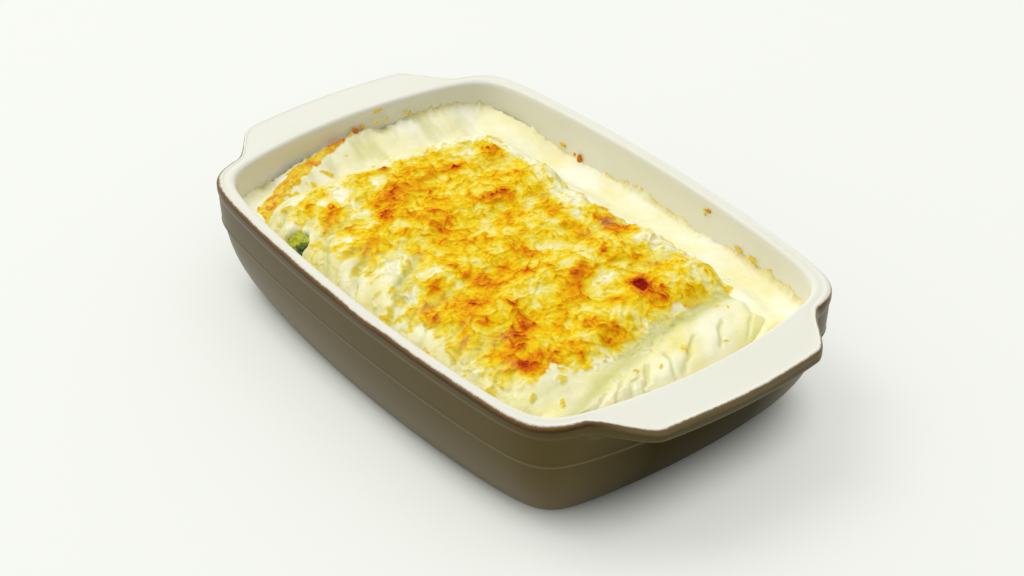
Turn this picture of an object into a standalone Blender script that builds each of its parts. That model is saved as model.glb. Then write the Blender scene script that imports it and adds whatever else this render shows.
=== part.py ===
"""Baked cannelloni in a stoneware dish.

A glazed oblong baking dish with two handle lugs holds a bechamel sauce, and six filled
cannelloni lie across it, side by side. One of them is open at its end, where its
spinach filling shows. Metres, +Z up. The origin is the middle of the dish's base,
+X runs along the dish and +Y across it.
"""

import bpy
import numpy as np

# ---------------------------------------------------------------- driving dimensions
GAP = 0.0003                 # clear space kept between neighbouring solids

# Dish
DISH_LENGTH = 0.2427         # rim, without the handles
DISH_WIDTH = 0.1660
DISH_HEIGHT = 0.0518
END_BOW = 0.0110             # how far each short side swells past a straight line
SIDE_BOW = 0.0074            # the same for each long side
CORNER_POWER = 14.0          # superellipse power of the plan: higher is squarer
RIM_THICKNESS = 0.0056
RIM_LIP = 0.0004             # the rim stands this far out of the wall
RIM_ROUND = 0.0018           # edge radius of the rim and the handles
WALL_TAPER = 0.0105          # how far the outer wall leans in from rim to base
WALL_TAPER_POWER = 3.1       # the lean gathers near the base
END_TUCK = 0.0036            # at the base the short sides swell less by this much
SIDE_TUCK = 0.0014           # and the long sides swell more by this much
BAND_HEIGHT = 0.0330         # a fine line runs round the outside here
BAND_STEP = 0.0006           # the wall below the line stands back by this much
FOOT_ROUND = 0.0030          # edge radius of the base
FOOT_WIDTH = 0.0070          # flat ring that the dish stands on
FOOT_RECESS = 0.0010         # the base inside the ring is raised by this much
FLOOR_THICKNESS = 0.0060
FLOOR_ROUND = 0.0140         # radius between the inner wall and the floor
INNER_DRAFT = 0.0026         # the inner wall leans in by this much from rim to floor

# Handles: the rim of each short side runs out into a flat lug
HANDLE_REACH = 0.0165
HANDLE_HALF_WIDTH = 0.0478   # from the centre line to the middle of the shoulder
HANDLE_SHOULDER = 0.0210     # width of the S-shaped shoulder
HANDLE_THICKNESS = 0.0060
HANDLE_HAUNCH = 0.0030       # the underside drops by this much where it meets the wall

# Sauce
SAUCE_LEVEL = 0.0320
SAUCE_UNDER_ROLLS = 0.0026   # sauce between the dish's floor and the cannelloni
NEAR_BANK = 0.0055           # sauce pushed up along the -Y wall
END_BANK = 0.0090            # sauce baked on high at the -X wall and in its +Y corner
END_BANK_LOW = 0.35          # share of it that is left in the -Y corner
LAST_BANK = 0.0045           # sauce pushed up at the +X wall
FAR_BANK = 0.0025            # sauce pushed up along the +X half of the +Y wall
WALL_CLIMB = 0.0016          # the sauce curls up where it touches the dish

# Cannelloni, lying across the dish and numbered from -X to +X
ROLL_COUNT = 6
ROW_START = -0.0832          # the row's edge at -X
ROW_END = 0.1060             # the row's edge at +X, on the dish's centre line
ROW_END_BOW = 0.0062         # that edge curves back by this much at a full roll's ends
ROW_FAN = 0.0090             # the rolls fan out: the last line between two leans this much
ROLL_PITCH = 0.0332
ROLL_CLEARANCE = 0.0006      # between one roll and the next
ROLL_TOP = 0.0455            # height of a full roll's crest
ROLL_CROWN = 0.0042          # the crest stands this much above the shoulders
ROLL_POWER = 5.4             # superellipse power of a roll's section
ROLL_END_POWER = 6.5         # how squarely a roll's end is rounded off
ROLL_END_FACE = 0.62         # size of the flat end beside the full section
ROLL_MIDDLE_Y = -0.0080
ROLL_LENGTH = 0.1130
LAST_ROLL_LENGTH = 0.0940    # the roll at +X is narrower and shorter, and has sunk
LAST_ROLL_TOP = 0.0400
ROLL_END_SHIFTS = (0.0, 0.0016, -0.0010, 0.0012, 0.0, 0.0030)
ROLL_TOP_SHIFTS = (-0.0006, 0.0004, 0.0, 0.0006, -0.0004, 0.0)

# Spinach filling of the open roll
OPEN_ROLL = 1
FILLING_WIDTH = 0.0215
FILLING_TOP = 0.0405
FILLING_BOTTOM = 0.0145
FILLING_POWER = 2.6
FAR_PASTA = 0.0040           # pasta and sauce that close the roll's far end
FILLING_STICKS_OUT = 0.0008  # the filling bulges past the open end

# The hollow in the sauce that holds the rolls
POCKET_MARGIN = 0.0012
POCKET_POWER = 24.0
POCKET_STEP = 0.0090         # length over which it narrows beside the last roll
POCKET_ROUND = 0.0050        # height of the curve at the bottom of the hollow
POCKET_FLOOR_SIZE = 0.955    # size of the hollow's floor beside its mouth
SAUCE_WALL = 0.0018          # least sauce between the hollow and the dish

# Mesh density
DISH_POINTS = (30, 18)       # points of each dish ring on a short and on a long side
SAUCE_POINTS = (14, 22)      # the same for the sauce
POCKET_STEP_PLACE = 0.73     # the hollow's points gather here, where it narrows
SHOULDER_PLACE = 0.64        # the dish's points gather here too, at the handles' shoulders
ROLL_POINTS = 20
ROLL_STATIONS = 10


# ---------------------------------------------------------------- shared helpers
def clear_scene():
    """Remove every object, so that the script starts from nothing."""
    for item in list(bpy.data.objects):
        bpy.data.objects.remove(item, do_unlink=True)


def plain_material(name, colour, roughness):
    """A Principled material with one colour."""
    material = bpy.data.materials.new(name)
    material.use_nodes = True
    shader = material.node_tree.nodes["Principled BSDF"]
    shader.inputs["Base Color"].default_value = (*colour, 1.0)
    shader.inputs["Roughness"].default_value = roughness
    shader.inputs["Metallic"].default_value = 0.0
    material.diffuse_color = (*colour, 1.0)
    return material


def lofted_solid(name, rings, material, smooth_angle=40.0):
    """Close a stack of rings into one solid: quads between neighbours, a face on each end.

    The rings run so that each one, seen from outside the solid, lies above the one before
    it, and the points of a ring run counter-clockwise seen from the last ring.
    """
    rings = np.asarray(rings)
    ring_count, point_count, _ = rings.shape
    index = np.arange(ring_count * point_count).reshape(ring_count, point_count)
    low = index[:-1]
    high = index[1:]
    low_next = np.roll(low, -1, axis=1)
    high_next = np.roll(high, -1, axis=1)
    quads = np.stack([low, low_next, high_next, high], axis=-1).reshape(-1, 4)
    faces = quads.tolist() + [index[0, ::-1].tolist(), index[-1].tolist()]
    mesh = bpy.data.meshes.new(name)
    mesh.from_pydata(rings.reshape(-1, 3).tolist(), [], faces)
    mesh.shade_smooth()
    mesh.set_sharp_from_angle(angle=np.radians(smooth_angle))
    mesh.materials.append(material)
    solid = bpy.data.objects.new(name, mesh)
    bpy.context.collection.objects.link(solid)
    return solid


def smoothstep(value):
    """0 below 0, 1 above 1, and a smooth S between."""
    value = np.clip(value, 0.0, 1.0)
    return value * value * (3.0 - 2.0 * value)


def gathered(count, places):
    """Points from -1 to just short of 1, closer together on both sides around each place."""
    fine = np.linspace(-1, 1, 401)
    density = 0.3 + sum(np.exp(-(((np.abs(fine) - place) / 0.13) ** 2)) for place in places)
    total = np.concatenate([[0.0], np.cumsum((density[1:] + density[:-1]) / 2)])
    return np.interp(np.linspace(0, total[-1], count, endpoint=False), total, fine)


def square_ring(short_count, long_count, power, short_places=(1.0,), long_places=(1.0,)):
    """Points of a unit square, gathered at its corners and pushed in to a superellipse.

    The sides at +X and -X have short_count points each, gathered round short_places.
    """
    short = gathered(short_count, short_places)
    long = gathered(long_count, long_places)
    ring = np.concatenate(
        [
            np.stack([np.ones_like(short), short], axis=1),
            np.stack([-long, np.ones_like(long)], axis=1),
            np.stack([-np.ones_like(short), -short], axis=1),
            np.stack([long, -np.ones_like(long)], axis=1),
        ]
    )
    size = (np.abs(ring) ** power).sum(axis=1, keepdims=True) ** (1.0 / power)
    return ring / size


def arc(start_degrees, end_degrees, steps):
    """Angles in radians, evenly spaced."""
    return np.radians(np.linspace(start_degrees, end_degrees, steps))


# ---------------------------------------------------------------- the dish's plan and walls
def dish_outline(inset, counts, places=(1.0,), lean=0.0):
    """Plan of the dish, moved inwards from the rim by inset: a superellipse with bowed sides.

    inset is one number, or one for each point of the ring. counts holds the points on a
    short and on a long side. lean is the share of the wall's whole lean at this height.
    """
    ring = square_ring(*counts, CORNER_POWER, places)
    end_bow = END_BOW - END_TUCK * lean
    side_bow = SIDE_BOW + SIDE_TUCK * lean
    half_length = DISH_LENGTH / 2 - END_BOW - inset
    half_width = DISH_WIDTH / 2 - side_bow - inset
    x = ring[:, 0] * (half_length + end_bow * (1 - ring[:, 1] ** 2))
    y = ring[:, 1] * (half_width + side_bow * (1 - ring[:, 0] ** 2))
    return np.stack([x, y], axis=1)


def wall_lean(z):
    """Share of the outer wall's lean at height z: all at the base, none at the rim."""
    return (1 - z / DISH_HEIGHT) ** WALL_TAPER_POWER


def outer_inset(z):
    """How far the outer wall stands inside the rim at height z."""
    step = BAND_STEP if z < BAND_HEIGHT else 0.0
    if z < FOOT_ROUND:
        foot = FOOT_ROUND - np.sqrt(FOOT_ROUND**2 - (FOOT_ROUND - z) ** 2)
    else:
        foot = 0.0
    return WALL_TAPER * wall_lean(z) + step + foot


def inner_inset(z):
    """How far the inner wall stands inside the rim at height z, down to the floor."""
    z = np.asarray(z, dtype=float)
    draft = INNER_DRAFT * (1 - z / DISH_HEIGHT)
    below = np.clip(FLOOR_THICKNESS + FLOOR_ROUND - z, 0.0, FLOOR_ROUND)
    fillet = FLOOR_ROUND - np.sqrt(FLOOR_ROUND**2 - below**2)
    return RIM_THICKNESS + draft + fillet


def floor_fillet_heights(steps):
    """Heights up the curve between the floor and the inner wall, evenly spaced by angle."""
    return FLOOR_THICKNESS + FLOOR_ROUND * (1 - np.cos(arc(0, 90, steps)))


def handle_mask(y):
    """1 along a handle, 0 past its shoulders."""
    return smoothstep((HANDLE_HALF_WIDTH + HANDLE_SHOULDER / 2 - np.abs(y)) / HANDLE_SHOULDER)


def dish_stations():
    """The wall's profile from under the base, up the outside, over the rim and down inside.

    Each station is (inset, height, share, lean). share is how much of the handle's reach it
    takes on the short sides, and lean is the share of the outer wall's lean.
    """
    base_edge = outer_inset(0.0)
    under = DISH_HEIGHT - HANDLE_THICKNESS
    stations = [
        (base_edge + FOOT_WIDTH + FOOT_RECESS, FOOT_RECESS, 0.0, 1.0),
        (base_edge + FOOT_WIDTH, 0.0, 0.0, 1.0),
        (base_edge, 0.0, 0.0, 1.0),
    ]
    for angle in arc(25, 90, 3):
        z = FOOT_ROUND * (1 - np.cos(angle))
        stations.append((outer_inset(z), z, 0.0, wall_lean(z)))
    for z in (0.009, 0.016, 0.024, BAND_HEIGHT - BAND_STEP, BAND_HEIGHT):
        stations.append((outer_inset(z), z, 0.0, wall_lean(z)))
    for share in (0.0, 0.15, 0.5, 0.92):
        z = under - HANDLE_HAUNCH * (1 - share) ** 2
        stations.append((outer_inset(z), z, share, wall_lean(z)))
    stations.append((-RIM_LIP, under + RIM_ROUND / 2, 1.0, 0.0))
    for angle in arc(0, 90, 4):
        inset = -RIM_LIP + RIM_ROUND * (1 - np.cos(angle))
        z = DISH_HEIGHT - RIM_ROUND * (1 - np.sin(angle))
        stations.append((inset, z, 1.0, 0.0))
    stations.append((RIM_THICKNESS / 2, DISH_HEIGHT, 0.3, 0.0))
    for angle in arc(90, 20, 3):
        inset = RIM_THICKNESS - RIM_ROUND * (1 - np.cos(angle))
        z = DISH_HEIGHT - RIM_ROUND * (1 - np.sin(angle))
        stations.append((inset, z, 0.0, 0.0))
    for z in (0.046, 0.034):
        stations.append((float(inner_inset(z)), z, 0.0, 0.0))
    for z in floor_fillet_heights(5)[::-1]:
        stations.append((float(inner_inset(z)), z, 0.0, 0.0))
    return stations


def build_dish(material):
    """The dish is one loft: every station of the wall's profile, carried round the plan."""
    rings = []
    for inset, z, share, lean in dish_stations():
        outline = dish_outline(inset, DISH_POINTS, (SHOULDER_PLACE, 1.0), lean)
        reach = HANDLE_REACH * share * handle_mask(outline[:, 1])
        x = outline[:, 0] + np.sign(outline[:, 0]) * reach
        rings.append(np.stack([x, outline[:, 1], np.full_like(x, z)], axis=1))
    return lofted_solid("dish", rings, material)


# ---------------------------------------------------------------- cannelloni
def row_edge(number, y):
    """Place in X, at y, of the line between one roll and the next.

    Line 0 is the row's edge at -X. The lines lean more and more, so that the rolls fan out
    towards -Y, and the last line curves with the dish's end.
    """
    if number == ROLL_COUNT:
        return ROW_END - ROW_END_BOW * (2 * y / ROLL_LENGTH) ** 2
    lean = ROW_FAN * (number / (ROLL_COUNT - 1)) ** 2
    return ROW_START + ROLL_PITCH * number + lean * (ROLL_MIDDLE_Y - y) / ROLL_LENGTH


def roll_places():
    """Where each roll lies: number, near and far y, bottom and top."""
    bottom = FLOOR_THICKNESS + GAP + SAUCE_UNDER_ROLLS + GAP
    places = []
    for number in range(1, ROLL_COUNT + 1):
        last = number == ROLL_COUNT
        length = LAST_ROLL_LENGTH if last else ROLL_LENGTH
        middle = ROLL_MIDDLE_Y + ROLL_END_SHIFTS[number - 1]
        top = (LAST_ROLL_TOP if last else ROLL_TOP) + ROLL_TOP_SHIFTS[number - 1]
        places.append((number, middle - length / 2, middle + length / 2, bottom, top))
    return places


def section(width, bottom, top, power, crown):
    """One cross-section in X and Z: a superellipse whose top edges drop by the crown."""
    angle = np.linspace(0, 2 * np.pi, ROLL_POINTS, endpoint=False)
    across = np.sign(np.cos(angle)) * np.abs(np.cos(angle)) ** (2 / power)
    up = np.sign(np.sin(angle)) * np.abs(np.sin(angle)) ** (2 / power)
    drop = crown * across**2 * np.clip(up, 0.0, 1.0)
    x = across * width / 2
    z = up * (top - bottom) / 2 - drop
    return x, z


def ring_across(x, width, bottom, top, y, scale, power, crown):
    """A section at one place along a roll, shrunk towards the roll's axis by scale."""
    across, up = section(width, bottom, top, power, crown)
    middle = (top + bottom) / 2
    return np.stack([x + across * scale, np.full_like(across, y), middle + up * scale], axis=1)


def roll_scales():
    """Places along a roll from -1 to 1, gathered at its ends, and the section's size there."""
    limit = (1 - ROLL_END_FACE**ROLL_END_POWER) ** (1 / ROLL_END_POWER)
    place = np.sin(np.linspace(-0.5, 0.5, ROLL_STATIONS) * np.pi) * limit
    scale = (1 - np.abs(place) ** ROLL_END_POWER) ** (1 / ROLL_END_POWER)
    return place / limit, scale


def roll_rings(place):
    """Rings of a whole roll, from its far end to its near end, between its two row lines."""
    number, near, far, bottom, top = place
    rings = []
    for part, scale in zip(*roll_scales()):
        y = (near + far) / 2 - part * (far - near) / 2
        left = row_edge(number - 1, y)
        right = row_edge(number, y)
        width = right - left - ROLL_CLEARANCE
        x = (left + right) / 2
        rings.append(ring_across(x, width, bottom, top, y, scale, ROLL_POWER, ROLL_CROWN))
    return rings


def build_roll(place, pasta):
    """A closed roll: pasta and its coat of sauce as one solid."""
    return lofted_solid(f"roll_{place[0]}", roll_rings(place), pasta)


def build_open_roll(place, pasta, spinach):
    """A roll open at its near end, and the filling that runs through it."""
    number, near, far, _, _ = place
    x = (row_edge(number - 1, near) + row_edge(number, near)) / 2
    core_far = far - FAR_PASTA
    hole = (FILLING_WIDTH + 2 * GAP, FILLING_BOTTOM - GAP, FILLING_TOP + GAP)
    rings = roll_rings(place)
    for y in np.linspace(near, core_far + GAP, 4):
        rings.append(ring_across(x, *hole, y, 1.0, FILLING_POWER, 0.0))
    lofted_solid(f"roll_{number}", rings, pasta)
    core = (FILLING_WIDTH, FILLING_BOTTOM, FILLING_TOP)
    core_rings = []
    for y in np.linspace(core_far, near, 4):
        core_rings.append(ring_across(x, *core, y, 1.0, FILLING_POWER, 0.0))
    bulge_y = near - FILLING_STICKS_OUT
    core_rings.append(ring_across(x, *core, bulge_y, 0.8, FILLING_POWER, 0.0))
    lofted_solid(f"filling_{number}", core_rings, spinach)


# ---------------------------------------------------------------- sauce
def pocket_outline(places):
    """Plan of the hollow that holds the rolls: it narrows beside the last, shorter roll.

    Its +X side follows the row's edge there.
    """
    left = ROW_START - POCKET_MARGIN
    right = ROW_END + POCKET_MARGIN
    near = min(place[1] for place in places) - POCKET_MARGIN - FILLING_STICKS_OUT
    far = max(place[2] for place in places) + POCKET_MARGIN
    ring = square_ring(*SAUCE_POINTS, POCKET_POWER, long_places=(POCKET_STEP_PLACE, 1.0))
    x = (left + right) / 2 + ring[:, 0] * (right - left) / 2
    y = (near + far) / 2 + ring[:, 1] * (far - near) / 2
    _, last_near, last_far, _, _ = places[-1]
    step_start = row_edge(ROLL_COUNT - 1, y)
    beside_last = smoothstep((x - step_start) / POCKET_STEP)
    near_limit = near + (last_near - POCKET_MARGIN - near) * beside_last
    far_limit = far + (last_far + POCKET_MARGIN - far) * beside_last
    y = np.clip(y, near_limit, far_limit)
    x = np.minimum(x, row_edge(ROLL_COUNT, y) + POCKET_MARGIN)
    return np.stack([x, y], axis=1)


def keep_inside(outline, limit):
    """Pull in, towards the origin, the points of outline that lie outside the ring limit."""
    bearing = np.arctan2(limit[:, 1], limit[:, 0])
    order = np.argsort(bearing)
    allowed = np.interp(
        np.arctan2(outline[:, 1], outline[:, 0]),
        bearing[order],
        np.hypot(limit[:, 0], limit[:, 1])[order],
        period=2 * np.pi,
    )
    size = np.minimum(1.0, allowed / np.hypot(outline[:, 0], outline[:, 1]))
    return outline * size[:, None]


def pocket_ring(pocket, z):
    """The hollow's plan at one height: smaller near its floor, and clear of the dish."""
    floor = FLOOR_THICKNESS + GAP + SAUCE_UNDER_ROLLS
    below = np.clip(1 - (z - floor) / POCKET_ROUND, 0.0, 1.0)
    size = POCKET_FLOOR_SIZE + (1 - POCKET_FLOOR_SIZE) * np.sqrt(1 - below**2)
    middle = (pocket.min(axis=0) + pocket.max(axis=0)) / 2
    limit = dish_outline(float(inner_inset(z)) + GAP + SAUCE_WALL, DISH_POINTS)
    return keep_inside(middle + (pocket - middle) * size, limit)


def sauce_height(x, y):
    """Height of the sauce: level in the middle of the +Y side, and banked up elsewhere."""
    u = x / (DISH_LENGTH / 2 - RIM_THICKNESS)
    v = y / (DISH_WIDTH / 2 - RIM_THICKNESS)
    near = NEAR_BANK * smoothstep((-v - 0.50) / 0.40)
    last = LAST_BANK * smoothstep((u - 0.80) / 0.16)
    beside_far_wall = smoothstep((v - 0.62) / 0.30)
    far = FAR_BANK * beside_far_wall * smoothstep((u - 0.20) / 0.15)
    end_share = END_BANK_LOW + (1 - END_BANK_LOW) * smoothstep((v + 0.72) / 0.30)
    end = smoothstep((-u - 0.74) / 0.22) * end_share
    corner = beside_far_wall * smoothstep((-u - 0.60) / 0.10)
    return SAUCE_LEVEL + near + last + far + END_BANK * np.maximum(end, corner)


def build_sauce(places, material):
    """One loft: under the sauce, up against the dish, in over its top, down into the hollow."""
    pocket = pocket_ring(pocket_outline(places), SAUCE_LEVEL)
    rings = []

    def add(outline, z):
        height = np.broadcast_to(z, (len(outline),))
        rings.append(np.stack([outline[:, 0], outline[:, 1], height], axis=1))

    for z in floor_fillet_heights(4):
        add(dish_outline(float(inner_inset(z)) + GAP, SAUCE_POINTS), z + GAP)
    wall_start = FLOOR_THICKNESS + FLOOR_ROUND + GAP
    guess = dish_outline(float(inner_inset(SAUCE_LEVEL)) + GAP, SAUCE_POINTS)
    contact = sauce_height(guess[:, 0], guess[:, 1]) + WALL_CLIMB
    for part in (0.5, 1.0):
        z = wall_start + (contact - wall_start) * part
        outline = dish_outline(inner_inset(z) + GAP, SAUCE_POINTS)
        add(outline, z)
    wall = rings[-1][:, :2]
    for part in (0.12, 0.45, 1.0):
        outline = wall + (pocket - wall) * part
        add(outline, sauce_height(outline[:, 0], outline[:, 1]))
    pocket_floor = FLOOR_THICKNESS + GAP + SAUCE_UNDER_ROLLS
    for angle in arc(90, 0, 4):
        z = pocket_floor + POCKET_ROUND * (1 - np.cos(angle))
        add(pocket_ring(pocket, z), z)
    return lofted_solid("sauce", rings, material)


# ---------------------------------------------------------------- the whole part
def build():
    """Make every piece of the dish and its food."""
    clear_scene()
    stoneware = plain_material("stoneware", (0.17, 0.14, 0.08), 0.35)
    bechamel = plain_material("bechamel", (0.90, 0.86, 0.60), 0.40)
    baked_pasta = plain_material("baked_pasta", (0.88, 0.66, 0.18), 0.55)
    spinach = plain_material("spinach", (0.15, 0.24, 0.03), 0.60)
    places = roll_places()
    build_dish(stoneware)
    build_sauce(places, bechamel)
    for place in places:
        if place[0] == OPEN_ROLL:
            build_open_roll(place, baked_pasta, spinach)
        else:
            build_roll(place, baked_pasta)


build()
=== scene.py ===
import math

import bpy
import numpy as np
from bpy.props import FloatProperty, FloatVectorProperty, IntProperty, PointerProperty
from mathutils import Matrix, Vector


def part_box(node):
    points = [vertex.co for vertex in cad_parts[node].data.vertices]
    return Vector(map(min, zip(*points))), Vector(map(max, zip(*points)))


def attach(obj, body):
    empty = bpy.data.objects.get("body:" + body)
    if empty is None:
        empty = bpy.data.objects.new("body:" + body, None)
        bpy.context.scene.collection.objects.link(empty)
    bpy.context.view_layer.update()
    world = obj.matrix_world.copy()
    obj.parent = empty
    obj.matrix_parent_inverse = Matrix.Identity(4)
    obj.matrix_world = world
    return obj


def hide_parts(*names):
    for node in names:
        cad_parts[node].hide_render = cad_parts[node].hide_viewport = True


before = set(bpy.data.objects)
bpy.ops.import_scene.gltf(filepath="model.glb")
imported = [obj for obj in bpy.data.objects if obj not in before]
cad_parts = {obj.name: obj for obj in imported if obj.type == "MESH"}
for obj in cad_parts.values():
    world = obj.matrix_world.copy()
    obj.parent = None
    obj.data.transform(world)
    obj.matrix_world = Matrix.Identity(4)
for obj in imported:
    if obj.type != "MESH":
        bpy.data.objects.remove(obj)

bl_info = {
    "name": "Baked Cannelloni",
    "version": (1, 0, 0),
    "blender": (4, 5, 0),
    "location": "3D View > Sidebar > Cannelloni",
    "description": "Dresses a dish of cannelloni: glazed stoneware, bechamel and a browned crust",
    "category": "Object",
}

BODY = "root"
MM = 0.001
ROLL_COUNT = 6

# ---------------------------------------------------------------- sizes taken from the frame
DISH_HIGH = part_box("dish")[1]
ROLL_BOXES = [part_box(f"roll_{number}") for number in range(1, ROLL_COUNT + 1)]
FILLING_LOW, FILLING_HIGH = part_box("filling_1")

# The dish's plan and wall, as its solid has them, but with 1.8 mm more END_TUCK
RIM_LIP = 0.0004
HANDLE_REACH = 0.0165
HANDLE_HALF_WIDTH = 0.0478
HANDLE_SHOULDER = 0.0210
HANDLE_THICKNESS = 0.0060
HANDLE_HAUNCH = 0.0030
DISH_HEIGHT = DISH_HIGH.z
DISH_LENGTH = 2 * (DISH_HIGH.x - HANDLE_REACH - RIM_LIP)
DISH_WIDTH = 2 * (DISH_HIGH.y - RIM_LIP)
END_BOW = 0.0110
SIDE_BOW = 0.0074
CORNER_POWER = 14.0
RIM_THICKNESS = 0.0056
RIM_ROUND = 0.0018
WALL_TAPER = 0.0105
WALL_TAPER_POWER = 3.1
END_TUCK = 0.0054
SIDE_TUCK = 0.0014
BAND_HEIGHT = 0.0330
BAND_STEP = 0.0006
FOOT_ROUND = 0.0030
FOOT_WIDTH = 0.0070
FOOT_RECESS = 0.0010
FLOOR_THICKNESS = 0.0060
FLOOR_ROUND = 0.0140
INNER_DRAFT = 0.0026

# Finer forms of the wall: the edge radius under a handle, the half height of the swelling
# over the fine line, the height over which the rim's lip comes out of the wall, and how
# far the rim's top sags
HANDLE_EDGE = 0.0013
BAND_SWELLING = 0.0008
LIP_RUN = 0.0022
RIM_SAG = 0.0004

# Glaze levels of the recess under the base, the bare ring that the dish stands on, the
# inner end of the rim's top, and the inside
RECESS_LEVEL = -80
FOOT_LEVEL = -100
TOP_LEVEL = 9
INSIDE_LEVEL = 10

# The row of cannelloni, as its solids have it
ROW_START = -0.0832
ROW_END = 0.1060
ROW_END_BOW = 0.0062
ROW_FAN = 0.0090
ROLL_PITCH = 0.0332
ROLL_MIDDLE_Y = -0.0080
ROLL_LENGTH = 0.1130

# How far towards +X the torn first roll shows its filling
FILLING_SHIFT = 0.0085
# The filling's near end is rough from here on
ROUGH_FILLING_Y = -0.0500

# How far the baked skin stands out past the first roll, and above the rolls' solids
FIRST_FLANK = 0.0022
SKIN_RISE = 0.0028
LAST_SKIN_RISE = 0.0036
# How far it runs on under the next roll's, as a share of half its width, and how much lower
OVERLAP = 0.05
UNDER_NEXT = 0.0005
# Heights of the grooves before the first roll, before the last one and after it, and how
# far the other grooves lie below the lowest full roll's crest
FIRST_GROOVE = 0.0444
LAST_GROOVE = 0.0430
END_GROOVE = 0.0400
GROOVE_DEPTH = 0.0006
# How far inside the rolls' ends their tops begin to turn down, and how much nearer to -Y
# the last one does
NEAR_TURN = 0.0095
FAR_TURN = 0.0090
LAST_NEAR_REACH = 0.0060
# How much further to +Y the skin reaches over the later rolls, by place in the row, and by
# how much its end there wanders
FAR_GROWTH_PLACES = (2.5, 3.5, 4.5, 5.5)
FAR_GROWTH = (0.0, 0.0030, 0.0055, 0.0090)
FAR_WANDER = 0.0022
# The crease between the last two rolls leaves their row line at this y. Over this run
# towards -Y it bends off by this much. The last value is the half width of its green shade
CREASE_BEND_Y = 0.0040
CREASE_BEND_RUN = 0.0500
CREASE_BEND = 0.0135
CREASE_WIDTH = 0.0034

# The sauce's level and banks, as its solid has them
SAUCE_LEVEL = 0.0320
NEAR_BANK = 0.0055
END_BANK = 0.0090
END_BANK_LOW = 0.35
LAST_BANK = 0.0045
FAR_BANK = 0.0025
# How far the sauce's skin reaches into the wall, so that no gap shows
INTO_WALL = 0.0003
# The sauce is drawn up against the rolls over the first width beside them, and then falls
# off over the second; the film on the wall thins over its own depth
FILLET_FLAT = 0.0050
FILLET_FALL = 0.0085
FILM_DEPTH = 0.0014
# The last rings of the hollow under the rolls: height, and share of the hollow's plan
POCKET_RINGS = ((0.026, 0.99), (0.018, 0.98), (0.012, 0.97))

# ---------------------------------------------------------------- the crust's plan, in millimetres
# Where the crust would end at -X, +X, -Y and +Y if it weren't torn
CRUST_LEFT = -80.5
CRUST_RIGHT = 85.0
CRUST_NEAR = -64.0
CRUST_FAR = 53.0
# Between these two places in X it comes further down at -Y, by this much
APRON_START = 8
APRON_END = 80
APRON_REACH = 6
# The direction, as a unit vector, along which the crust's texture is drawn out
GRAIN_X = -0.787
GRAIN_Y = 0.617
# The corners of the grid that the crust is worked out on
SHEET_LOW = (-124.0, -92.0)
SHEET_HIGH = (114.0, 84.0)
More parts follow.
